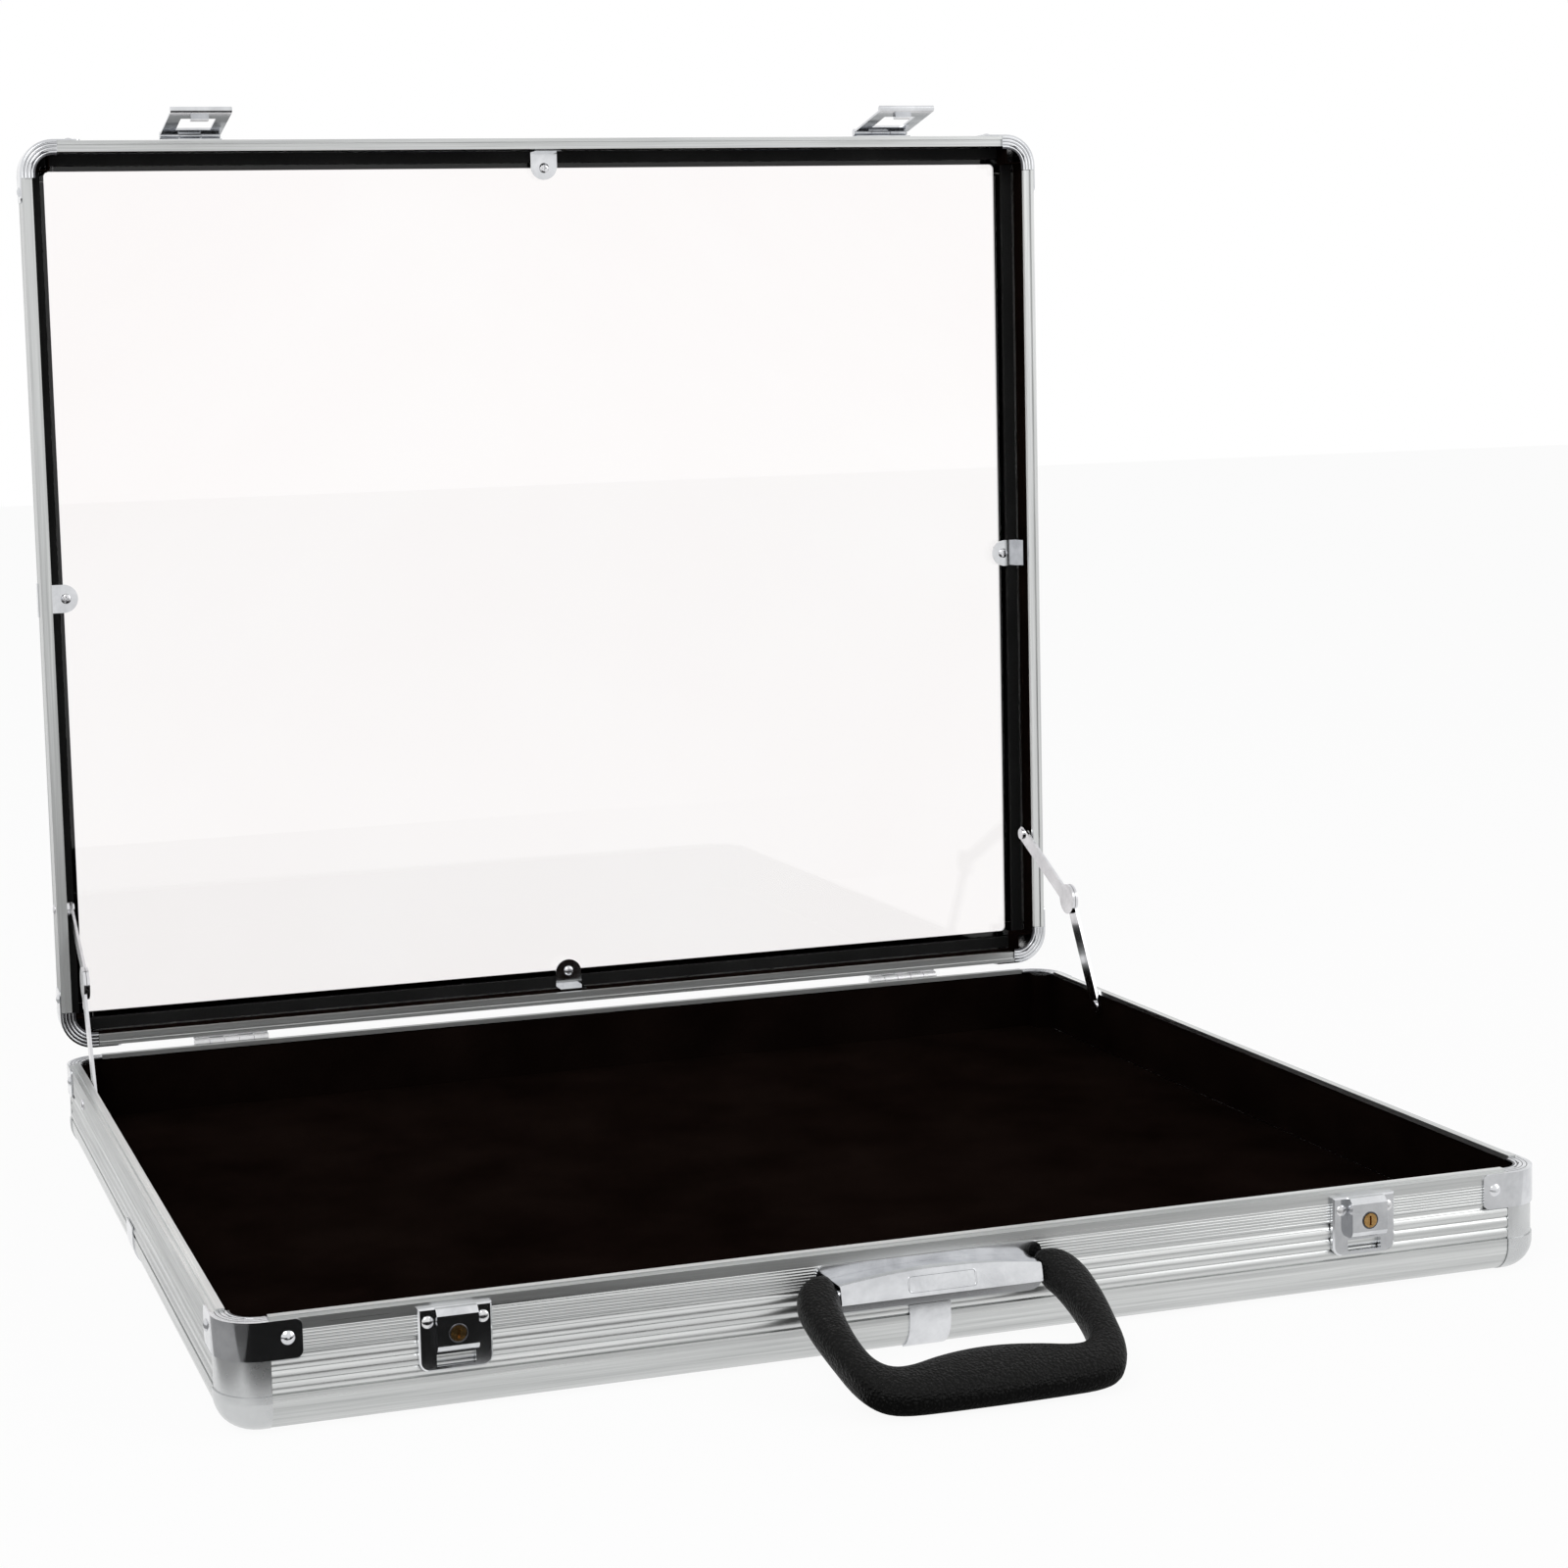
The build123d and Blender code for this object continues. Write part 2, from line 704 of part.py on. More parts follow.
def make_lock_cover(centre_x):
    """Lock cover with a bevelled top, a rounded lower edge and the bore for the key cylinder."""
    middle_z = lock_plate_top - lock_cover_height / 2
    with BuildPart() as cover:
        with Locations((centre_x, lock_plate_face - lock_cover_proud / 2, middle_z)):
            Box(lock_cover_width, lock_cover_proud, lock_cover_height)
        front_edges = cover.faces().sort_by(Axis.Y)[0].edges().filter_by(Axis.X).sort_by(Axis.Z)
        fillet(front_edges[0], lock_cover_proud * 0.7)
        chamfer(cover.faces().sort_by(Axis.Y)[0].edges().filter_by(Axis.X).sort_by(Axis.Z)[-1],
                lock_cover_proud * 0.5)
        with Locations(Location((centre_x, lock_plate_face - lock_cover_proud / 2, cylinder_z), (90, 0, 0))):
            Cylinder(cylinder_radius + pin_fit, 2 * lock_cover_proud, mode=Mode.SUBTRACT)
    return cover.part


def make_key_cylinder(centre_x):
    """Brass key cylinder with an upright keyway."""
    length = lock_cover_proud + cylinder_proud - running_gap
    face = cover_face - cylinder_proud
    with BuildPart() as plug:
        with Locations(Location((centre_x, face + length / 2, cylinder_z), (90, 0, 0))):
            Cylinder(cylinder_radius, length)
        with Locations((centre_x, face + keyway_depth / 2, cylinder_z)):
            Box(keyway_width, keyway_depth, keyway_height, mode=Mode.SUBTRACT)
    return plug.part


# Hasps on the lid

hasp_axis_y = front_face - lock_plate_proud - flap_gap - flap_thickness / 2
hasp_axis_z = base_height + hasp_axis_above_seam


def make_hasp_plate(centre_x):
    """Hasp plate on the lid wall with its two outer knuckles."""
    side_width = (hasp_width - hasp_knuckle_width) / 2 - running_gap
    offset = (hasp_knuckle_width + side_width) / 2 + running_gap
    plate_z = base_height + hasp_plate_above_seam + hasp_plate_height / 2
    web_depth = front_face - hasp_axis_y
    web_z = hasp_axis_z + hasp_knuckle_radius - hasp_plate_thickness / 2
    centres = (centre_x - offset, centre_x + offset)
    with BuildPart() as plate:
        with Locations((centre_x, front_face - hasp_plate_thickness / 2, plate_z)):
            Box(hasp_width, hasp_plate_thickness, hasp_plate_height)
        with Locations(*[(x, front_face - web_depth / 2, web_z) for x in centres]):
            Box(side_width, web_depth, hasp_plate_thickness)
        with Locations(*[Location((x, hasp_axis_y, hasp_axis_z), (0, 90, 0)) for x in centres]):
            Cylinder(hasp_knuckle_radius, side_width)
        with Locations(Location((centre_x, hasp_axis_y, hasp_axis_z), (0, 90, 0))):
            Cylinder(hasp_pin_radius + pin_fit, hasp_width, mode=Mode.SUBTRACT)
    return plate.part


def make_hasp_flap(centre_x):
    """Hasp flap with an opening for the lock cover, a tongue and a curled lip, lifted at rest."""
    flap_bottom = hasp_axis_z - flap_length
    shoulder = hasp_axis_z - hasp_knuckle_radius - running_gap - flap_thickness / 2
    opening_top = lock_plate_top + flap_opening_gap
    opening_bottom = lock_plate_top - lock_cover_height - flap_opening_gap
    opening_width = lock_cover_width + 2 * flap_opening_gap
    tongue_z = lock_window_bottom + lock_window_height / 2
    with BuildPart() as flap:
        with Locations((centre_x, hasp_axis_y, (shoulder + flap_bottom) / 2)):
            Box(hasp_width, flap_thickness, shoulder - flap_bottom)
        with Locations((centre_x, hasp_axis_y, (opening_top + opening_bottom) / 2)):
            Box(opening_width, flap_thickness, opening_top - opening_bottom, mode=Mode.SUBTRACT)
        with Locations((centre_x, hasp_axis_y, (hasp_axis_z + shoulder) / 2)):
            Box(hasp_knuckle_width, flap_thickness, hasp_axis_z - shoulder)
        with Locations(Location((centre_x, hasp_axis_y, hasp_axis_z), (0, 90, 0))):
            Cylinder(hasp_knuckle_radius, hasp_knuckle_width)
            Cylinder(hasp_pin_radius + pin_fit, hasp_width, mode=Mode.SUBTRACT)
        with Locations((centre_x, hasp_axis_y + (flap_thickness + tongue_depth) / 2, tongue_z)):
            Box(tongue_width, tongue_depth, tongue_height)
        curl_y = hasp_axis_y - lip_curl_radius + flap_thickness / 2
        with Locations(Location((centre_x, curl_y, flap_bottom), (0, 90, 0))):
            Cylinder(lip_curl_radius, hasp_width)
    return flap.part.rotate(Axis((centre_x, hasp_axis_y, hasp_axis_z), (-1, 0, 0)), flap_rest_lift)


def make_hasp_pin(centre_x):
    """Hasp pin held in the plate's knuckles."""
    with BuildPart() as pin:
        with Locations(Location((centre_x, hasp_axis_y, hasp_axis_z), (0, 90, 0))):
            Cylinder(hasp_pin_radius, hasp_width)
    return pin.part


for lock_side, sign in (("left", -1), ("right", 1)):
    lock_x = sign * lock_spacing / 2
    save(make_lock_plate(lock_x), "lock_plate_" + lock_side)
    save(make_lock_cover(lock_x), "lock_cover_" + lock_side)
    save(make_key_cylinder(lock_x), "key_cylinder_" + lock_side)
    save(make_hasp_plate(lock_x), "hasp_plate_" + lock_side, True)
    save(make_hasp_flap(lock_x), "hasp_flap_" + lock_side, True)
    save(make_hasp_pin(lock_x), "hasp_pin_" + lock_side, True)


# Handle

handle_y = front_face - handle_pivot_out
bracket_bottom = handle_pivot_height - bracket_end_height / 2
bracket_back = front_face - handle_back_plate_thickness


def make_handle_plate():
    """Bright back plate between the bracket and the wall."""
    with BuildPart() as plate:
        with BuildSketch(Plane(origin=(0, front_face, handle_pivot_height), x_dir=(1, 0, 0), z_dir=(0, -1, 0))):
            RectangleRounded(handle_back_plate_width, handle_back_plate_height, handle_back_plate_height / 5)
        extrude(amount=handle_back_plate_thickness)
    return plate.part


def make_bracket():
    """Cast bracket with an arched top and a bore at each end for the handle pins."""
    half = bracket_width / 2
    top_end = bracket_bottom + bracket_end_height
    top_mid = bracket_bottom + bracket_mid_height
    with BuildPart() as bracket:
        with BuildSketch(Plane(origin=(0, bracket_back, 0), x_dir=(1, 0, 0), z_dir=(0, -1, 0))):
            with BuildLine():
                Polyline((-half, top_end), (-half, bracket_bottom), (half, bracket_bottom), (half, top_end))
                ThreePointArc((half, top_end), (0, top_mid), (-half, top_end))
            make_face()
        extrude(amount=bracket_depth)
        ends = [
            Location((sign * (half - handle_pin_depth / 2), handle_y, handle_pivot_height), (0, 90, 0))
            for sign in (-1, 1)
        ]
        with Locations(*ends):
            Cylinder(handle_pin_radius + pin_fit, handle_pin_depth, mode=Mode.SUBTRACT)
    return bracket.part


def make_handle_pins():
    """Two stub pins that carry the grip at the ends of the bracket."""
    length = handle_pin_depth * 2
    ends = [
        Location((sign * bracket_width / 2, handle_y, handle_pivot_height), (0, 90, 0)) for sign in (-1, 1)
    ]
    with BuildPart() as pins:
        with Locations(*ends):
            Cylinder(handle_pin_radius, length - 2 * running_gap)
    return pins.part


def make_grip():
    """Moulded grip: two legs and a waisted bar, rounded all over, lying forward on the table."""
    leg_inner = bracket_width / 2 + grip_end_gap
    drop = radians(handle_drop_angle)
    with BuildPart() as grip:
        with BuildSketch(
            Plane(origin=(0, handle_y, handle_pivot_height), x_dir=(1, 0, 0), z_dir=(0, sin(drop), -cos(drop)))
        ) as outline:
            with BuildLine():
                Polyline(
                    (leg_inner, grip_bar_inner),
                    (leg_inner, -grip_boss),
                    (grip_leg_outer - 4, -grip_boss),
                    (grip_leg_outer, grip_boss),
                    (grip_leg_outer, grip_bar_waist * 0.7),
                    (grip_corner_x, grip_bar_outer),
                )
                ThreePointArc((grip_corner_x, grip_bar_outer), (0, grip_bar_bulge),
                              (-grip_corner_x, grip_bar_outer))
                Polyline(
                    (-grip_corner_x, grip_bar_outer),
                    (-grip_leg_outer, grip_bar_waist * 0.7),
                    (-grip_leg_outer, grip_boss),
                    (4 - grip_leg_outer, -grip_boss),
                    (-leg_inner, -grip_boss),
                    (-leg_inner, grip_bar_inner),
                )
                ThreePointArc((-leg_inner, grip_bar_inner), (0, grip_bar_waist), (leg_inner, grip_bar_inner))
            make_face()
            fillet(outline.vertices().filter_by(lambda v: abs(v.Y - grip_bar_outer) < 0.01), 13)
            fillet(outline.vertices().filter_by(lambda v: abs(v.Y - grip_bar_inner) < 0.01), 7)
            fillet(outline.vertices().filter_by(lambda v: abs(abs(v.X) - grip_leg_outer + 4) < 0.01), 6)
        extrude(amount=grip_thickness / 2, both=True)
        rounded = grip.faces().filter_by(Plane(origin=(0, 0, 0), x_dir=(1, 0, 0), z_dir=(0, sin(drop), -cos(drop))))
        fillet(rounded.edges(), grip_edge_radius)
        ends = [
            Location((sign * (bracket_width / 2 + handle_pin_depth / 2), handle_y, handle_pivot_height), (0, 90, 0))
            for sign in (-1, 1)
        ]
        with Locations(*ends):
            Cylinder(handle_pin_radius + pin_fit, handle_pin_depth, mode=Mode.SUBTRACT)
    print("grip lowest point", round(grip.part.bounding_box().min.Z, 2))
    return grip.part


save(make_handle_plate(), "handle_back_plate")
save(make_bracket(), "handle_bracket")
save(make_handle_pins(), "handle_pins")
save(make_grip(), "handle_grip")


# Lid stays

def opened_point(y, z):
    """Place of a lid point after the lid is turned open."""
    turn = radians(lid_open_angle)
    dy = y - hinge_y
    dz = z - base_height
    return (hinge_y + dy * cos(turn) + dz * sin(turn), base_height - dy * sin(turn) + dz * cos(turn))


def elbow_of(lower, upper):
    """Elbow place of two equal arms between their pivots, on the side towards the front."""
    dy = upper[0] - lower[0]
    dz = upper[1] - lower[1]
    span = hypot(dy, dz)
    bulge = sqrt(stay_arm_length ** 2 - (span / 2) ** 2)
    return ((lower[0] + upper[0]) / 2 - dz / span * bulge, (lower[1] + upper[1]) / 2 + dy / span * bulge)


base_pivot = (stay_base_y, stay_base_z)
lid_pivot_open = opened_point(stay_lid_y, stay_lid_z)
elbow_open = elbow_of(base_pivot, lid_pivot_open)
elbow_closed = elbow_of(base_pivot, (stay_lid_y, stay_lid_z))
stay_lower_x = half_width - rim_width - running_gap - stay_thickness / 2
stay_upper_x = stay_lower_x - stay_thickness - running_gap
print("stay pivots", base_pivot, lid_pivot_open, elbow_open, elbow_closed)


def make_stay_arm(sign, middle_x, pivot, elbow):
    """One stay arm: a flat bar with a round eye at its pivot and a wide disc at the elbow."""
    origin = (sign * (middle_x - stay_thickness / 2), pivot[0], pivot[1])
    x_dir = (0, elbow[0] - pivot[0], elbow[1] - pivot[1])
    length = hypot(x_dir[1], x_dir[2])
    with BuildPart() as arm:
        with BuildSketch(Plane(origin=origin, x_dir=x_dir, z_dir=(sign, 0, 0))):
            with Locations((length / 2, 0)):
                Rectangle(length, 2 * stay_half_width)
            Circle(stay_half_width)
            with Locations((length, 0)):
                Circle(stay_elbow_radius)
            Circle(stay_pivot_radius + pin_fit, mode=Mode.SUBTRACT)
        extrude(amount=stay_thickness)
    return arm.part


def make_stay_pivot(sign, middle_x, pivot):
    """Stepped pivot: a shank from the wall skin through the arm, with a flat head inside."""
    wall_face = half_width - liner_face
    arm_inner = middle_x - stay_thickness / 2
    arm_outer = middle_x + stay_thickness / 2
    with BuildPart() as pin:
        with BuildSketch(Plane(origin=(sign * wall_face, pivot[0], pivot[1]), x_dir=(0, 1, 0), z_dir=(-sign, 0, 0))):
            Circle(stay_pivot_head_radius)
        extrude(amount=wall_face - arm_outer - running_gap / 2)
        with BuildSketch(Plane(origin=(sign * wall_face, pivot[0], pivot[1]), x_dir=(0, 1, 0), z_dir=(-sign, 0, 0))):
            Circle(stay_pivot_radius)
        extrude(amount=wall_face - arm_inner + running_gap / 2)
        head_x = sign * (arm_inner - running_gap / 2)
        with BuildSketch(Plane(origin=(head_x, pivot[0], pivot[1]), x_dir=(0, 1, 0), z_dir=(-sign, 0, 0))):
            Circle(stay_pivot_head_radius * 0.75)
        extrude(amount=stay_pivot_head)
    return pin.part


for stay_side, sign in (("left", -1), ("right", 1)):
    save(make_stay_arm(sign, stay_lower_x, base_pivot, elbow_open), "stay_lower_arm_" + stay_side)
    save(make_stay_arm(sign, stay_upper_x, lid_pivot_open, elbow_open), "stay_upper_arm_" + stay_side)
    save(make_stay_pivot(sign, stay_lower_x, base_pivot), "stay_base_pivot_" + stay_side)
    save(make_stay_pivot(sign, stay_upper_x, lid_pivot_open), "stay_lid_pivot_" + stay_side)
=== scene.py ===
"""Looks of the aluminum display case: studio, finishes, and the soft and small pieces on its CAD frame.

Everything is in metres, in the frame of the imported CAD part: X along the front, Y to the back, Z up.
At rest the lid stands open, so lid pieces are drawn on the open lid.
"""

import logging
import math
from dataclasses import dataclass
from enum import Enum
from typing import Iterable, Optional, Sequence

import bmesh
import bpy
from mathutils import Matrix, Vector


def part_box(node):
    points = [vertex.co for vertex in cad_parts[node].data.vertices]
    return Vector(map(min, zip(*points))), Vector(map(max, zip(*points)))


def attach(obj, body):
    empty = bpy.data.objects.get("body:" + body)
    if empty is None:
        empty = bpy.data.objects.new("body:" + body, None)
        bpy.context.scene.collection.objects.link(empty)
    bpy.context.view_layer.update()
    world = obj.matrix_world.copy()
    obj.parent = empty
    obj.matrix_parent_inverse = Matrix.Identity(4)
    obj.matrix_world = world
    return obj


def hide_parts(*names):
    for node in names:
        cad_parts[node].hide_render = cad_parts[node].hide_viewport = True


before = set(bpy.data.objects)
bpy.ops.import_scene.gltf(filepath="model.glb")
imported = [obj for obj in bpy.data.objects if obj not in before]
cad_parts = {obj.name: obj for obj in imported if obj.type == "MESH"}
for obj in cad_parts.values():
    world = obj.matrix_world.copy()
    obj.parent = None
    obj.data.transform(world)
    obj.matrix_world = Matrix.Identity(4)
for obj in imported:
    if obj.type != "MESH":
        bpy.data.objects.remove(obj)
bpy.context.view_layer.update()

logging.basicConfig(level=logging.INFO, format="%(name)s: %(message)s")
log = logging.getLogger("display_case")

MM = 0.001
Point = tuple[float, float, float]
Colour = tuple[float, float, float]


@dataclass(frozen=True)
class CaseSizes:
    """Main sizes of the case in metres, as the CAD source states them."""

    half_width: float = 305.0 * MM
    half_depth: float = 254.0 * MM
    base_height: float = 48.0 * MM
    corner_radius: float = 18.0 * MM
    hinge_y: float = 258.0 * MM
    skin: float = 2.4 * MM
    liner: float = 3.0 * MM
    post_block: float = 15.5 * MM
    lock_x: float = 209.0 * MM

    def on_open_lid(self, point: Point) -> Point:
        """Turn a point of the closed lid to the open lid.

        Args:
            point: Place on the closed case.

        Returns:
            The same place on the lid that stands open at a right angle.
        """
        x, y, z = point
        return (x, self.hinge_y + z - self.base_height, self.base_height - (y - self.hinge_y))


class Run(Enum):
    """Way in which a metal piece was drawn, as the stretch of its streaks."""

    ALONG_X = (0.012, 1.0, 1.0)
    ALONG_Y = (1.0, 0.012, 1.0)
    ALONG_Z = (1.0, 1.0, 0.012)
    NONE = (1.0, 1.0, 1.0)


# Shader node groups


class ShaderSketch:
    """Short calls to lay nodes in a shader tree."""

    def __init__(self, tree: bpy.types.NodeTree) -> None:
        """Keep the tree that the nodes go into."""
        self.tree = tree

    def node(self, kind: str, **inputs: object) -> bpy.types.Node:
        """Add a node and set or link its inputs.

        Args:
            kind: Blender's name of the node type.
            inputs: Input names, with _ for a space, to values or sockets. A name in lower case is a
                property, and I with a number is the input at that place.

        Returns:
            The new node.
        """
        made = self.tree.nodes.new(kind)
        for name, value in inputs.items():
            if name[0].islower():
                setattr(made, name, value)
        for name, value in inputs.items():
            if name[0].islower():
                continue
            key = int(name[1:]) if name[0] == "I" and name[1:].isdigit() else name.replace("_", " ")
            socket = made.inputs[key]
            if isinstance(value, bpy.types.NodeSocket):
                self.tree.links.new(value, socket)
            else:
                socket.default_value = value
        return made

    def link(self, start: bpy.types.NodeSocket, end: bpy.types.NodeSocket) -> None:
        """Join two sockets."""
        self.tree.links.new(start, end)


def empty_material(name: str) -> tuple[bpy.types.Material, ShaderSketch]:
    """Material with no nodes yet, and its sketch."""
    material = bpy.data.materials.new(name)
    material.use_nodes = True
    material.node_tree.nodes.clear()
    return material, ShaderSketch(material.node_tree)


def shader_group(name: str, inputs: dict[str, tuple[str, object]], outputs: dict[str, str]) -> tuple:
    """Start a shader node group with named sockets.

    Args:
        name: Name of the group.
        inputs: Socket name to socket type and default value.
        outputs: Socket name to socket type.

    Returns:
        The tree, its sketch, and its input and output nodes.
    """
    tree = bpy.data.node_groups.new(name, "ShaderNodeTree")
    for label, (kind, value) in inputs.items():
        socket = tree.interface.new_socket(label, in_out="INPUT", socket_type=kind)
        if value is not None:
            socket.default_value = value
    for label, kind in outputs.items():
        tree.interface.new_socket(label, in_out="OUTPUT", socket_type=kind)
    return tree, ShaderSketch(tree), tree.nodes.new("NodeGroupInput"), tree.nodes.new("NodeGroupOutput")


def make_streaks_group() -> bpy.types.NodeTree:
    """Streaks of drawn or brushed metal.

    Returns:
        A group with Streak, a value from 0 to 1, and Height for a bump.
    """
    tree, sketch, start, end = shader_group(
        "DrawnStreaks",
        {"Vector": ("NodeSocketVector", None), "Stretch": ("NodeSocketVector", (1.0, 1.0, 1.0)),
         "Fineness": ("NodeSocketFloat", 900.0)},
        {"Streak": "NodeSocketFloat", "Height": "NodeSocketFloat"},
    )
    drawn = sketch.node("ShaderNodeVectorMath", operation="MULTIPLY", I0=start.outputs["Vector"],
                        I1=start.outputs["Stretch"])
    fine = sketch.node("ShaderNodeTexNoise", Vector=drawn.outputs[0], Scale=start.outputs["Fineness"],
                       Detail=3.0, Roughness=0.6)
    broad_scale = sketch.node("ShaderNodeMath", operation="MULTIPLY", I0=start.outputs["Fineness"], I1=0.13)
    broad = sketch.node("ShaderNodeTexNoise", Vector=drawn.outputs[0], Scale=broad_scale.outputs[0],
                        Detail=2.0, Roughness=0.5)
    both = sketch.node("ShaderNodeMath", operation="ADD", I0=fine.outputs["Fac"], I1=broad.outputs["Fac"])
    streak = sketch.node("ShaderNodeMapRange", Value=both.outputs[0], From_Min=0.7, From_Max=1.3)
    sketch.link(streak.outputs[0], end.inputs["Streak"])
    sketch.link(fine.outputs["Fac"], end.inputs["Height"])
    return tree


def make_handling_group() -> bpy.types.NodeTree:
    """Broad soft marks that handling leaves on a polished surface.

    Returns:
        A group with Mark, a value from 0 to 1.
    """
    tree, sketch, start, end = shader_group(
        "HandlingMarks",
        {"Vector": ("NodeSocketVector", None), "Spread": ("NodeSocketFloat", 40.0)},
        {"Mark": "NodeSocketFloat"},
    )
    cloud = sketch.node("ShaderNodeTexNoise", Vector=start.outputs["Vector"], Scale=start.outputs["Spread"],
                        Detail=5.0, Roughness=0.62, Distortion=0.4)
    mark = sketch.node("ShaderNodeMapRange", Value=cloud.outputs["Fac"], From_Min=0.35, From_Max=0.75)
    sketch.link(mark.outputs[0], end.inputs["Mark"])
    return tree


def make_pebble_group() -> bpy.types.NodeTree:
    """Pebbled grain of moulded plastic or leather.

    Returns:
        A group with Height of the pebbles and Crest, a mask of their tops.
    """
    tree, sketch, start, end = shader_group(
        "PebbleGrain",
        {"Vector": ("NodeSocketVector", None), "Pebbles": ("NodeSocketFloat", 800.0)},
        {"Height": "NodeSocketFloat", "Crest": "NodeSocketFloat"},
    )
    wander = sketch.node("ShaderNodeTexNoise", Vector=start.outputs["Vector"], Scale=350.0, Detail=2.0)
    shifted = sketch.node("ShaderNodeVectorMath", operation="MULTIPLY_ADD", I0=wander.outputs["Color"],
                          I1=(0.0012, 0.0012, 0.0012), I2=start.outputs["Vector"])
    cells = sketch.node("ShaderNodeTexVoronoi", feature="SMOOTH_F1", Vector=shifted.outputs[0],
                        Scale=start.outputs["Pebbles"], Smoothness=0.35)
    height = sketch.node("ShaderNodeMapRange", Value=cells.outputs["Distance"], From_Min=0.05, From_Max=0.75,
                         To_Min=1.0, To_Max=0.0)
    crest = sketch.node("ShaderNodeMapRange", Value=height.outputs[0], From_Min=0.55, From_Max=0.95)
    sketch.link(height.outputs[0], end.inputs["Height"])
    sketch.link(crest.outputs[0], end.inputs["Crest"])
    return tree


def make_fibre_group() -> bpy.types.NodeTree:
    """Matted fibres of felt, also for the fine tooth of board and rubber.

    Returns:
        A group with Fibre, a value from 0 to 1, and Height for a bump.
    """
    tree, sketch, start, end = shader_group(
        "MattedFibres",
        {"Vector": ("NodeSocketVector", None), "Fineness": ("NodeSocketFloat", 1400.0)},
        {"Fibre": "NodeSocketFloat", "Height": "NodeSocketFloat"},
    )
    fluff = sketch.node("ShaderNodeTexNoise", Vector=start.outputs["Vector"], Scale=start.outputs["Fineness"],
                        Detail=4.0, Roughness=0.7, Distortion=1.2)
    nap = sketch.node("ShaderNodeTexNoise", Vector=start.outputs["Vector"], Scale=22.0, Detail=3.0)
    both = sketch.node("ShaderNodeMath", operation="MULTIPLY", I0=fluff.outputs["Fac"], I1=nap.outputs["Fac"])
    fibre = sketch.node("ShaderNodeMapRange", Value=both.outputs[0], From_Min=0.12, From_Max=0.42)
    sketch.link(fibre.outputs[0], end.inputs["Fibre"])
    sketch.link(fluff.outputs["Fac"], end.inputs["Height"])
    return tree


class ShaderGroups:
    """The shader groups that the finishes share, each built once."""

    def __init__(self) -> None:
        """Build every group."""
        self.streaks = make_streaks_group()
        self.handling = make_handling_group()
        self.pebble = make_pebble_group()
        self.fibre = make_fibre_group()


# Finishes


@dataclass(frozen=True)
class Finish:
    """A surface: its colours, gloss and relief.

    dark and light are the two ends of its colour, rough_low and rough_high the ends of its roughness,
    and relief the height of its bump in metres.
    """

    name: str
    dark: Colour
    light: Colour
    rough_low: float
    rough_high: float
    relief: float

    def start(self, group: bpy.types.NodeTree, **inputs: object) -> tuple:
        """Make the material with its coordinates, a shared group and its shader.

        Args:
            group: Shader group that drives colour, roughness and relief.
            inputs: Values of the group's inputs.

        Returns:
            The material, its sketch, the group node and the shader node.
        """
        material, sketch = empty_material(self.name)
        place = sketch.node("ShaderNodeTexCoord")
        effect = sketch.node("ShaderNodeGroup", node_tree=group)
        sketch.link(place.outputs["Object"], effect.inputs["Vector"])
        for label, value in inputs.items():
            effect.inputs[label].default_value = value
        shader = sketch.node("ShaderNodeBsdfPrincipled")
        output = sketch.node("ShaderNodeOutputMaterial")
        sketch.link(shader.outputs[0], output.inputs[0])
        material.diffuse_color = (*self.light, 1.0)
        return material, sketch, effect, shader

    def drive(self, sketch: ShaderSketch, shader: bpy.types.Node, value: bpy.types.NodeSocket,
              height: Optional[bpy.types.NodeSocket]) -> None:
        """Let a value from 0 to 1 move the colour and roughness, and a height the normal.

        Args:
            sketch: Sketch of the material.
            shader: Its Principled shader.
            value: Socket that runs from 0 to 1 over the surface.
            height: Socket of the relief, or None for a smooth surface.
        """
        colour = sketch.node("ShaderNodeMix", data_type="RGBA")
        sketch.link(value, colour.inputs[0])
        colour.inputs[6].default_value = (*self.dark, 1.0)
        colour.inputs[7].default_value = (*self.light, 1.0)
        sketch.link(colour.outputs[2], shader.inputs["Base Color"])
        rough = sketch.node("ShaderNodeMapRange", Value=value, To_Min=self.rough_high, To_Max=self.rough_low)
        sketch.link(rough.outputs[0], shader.inputs["Roughness"])
        if height is not None:
            bump = sketch.node("ShaderNodeBump", Strength=1.0, Distance=self.relief, Height=height)
            sketch.link(bump.outputs[0], shader.inputs["Normal"])


@dataclass(frozen=True)
class DrawnMetal(Finish):
    """Metal with streaks along the way it was drawn."""

    run: Run = Run.ALONG_X
    fineness: float = 900.0

    def build(self, groups: ShaderGroups) -> bpy.types.Material:
        """Make the material."""
        material, sketch, effect, shader = self.start(groups.streaks, Stretch=self.run.value,
                                                      Fineness=self.fineness)
        self.drive(sketch, shader, effect.outputs["Streak"], effect.outputs["Height"])
        shader.inputs["Metallic"].default_value = 1.0
        return material


@dataclass(frozen=True)
class PolishedMetal(Finish):
    """Plated or polished metal with faint handling marks."""

    spread: float = 60.0

    def build(self, groups: ShaderGroups) -> bpy.types.Material:
        """Make the material."""
        material, sketch, effect, shader = self.start(groups.handling, Spread=self.spread)
        self.drive(sketch, shader, effect.outputs["Mark"], None)
        shader.inputs["Metallic"].default_value = 1.0
        return material


@dataclass(frozen=True)
class Felt(Finish):
    """Black felt with a faint nap."""

    fineness: float = 1400.0
    gloss: float = 0.0

    def build(self, groups: ShaderGroups) -> bpy.types.Material:
        """Make the material."""
        material, sketch, effect, shader = self.start(groups.fibre, Fineness=self.fineness)
        self.drive(sketch, shader, effect.outputs["Fibre"], effect.outputs["Height"])
        shader.inputs["Specular IOR Level"].default_value = self.gloss
        return material


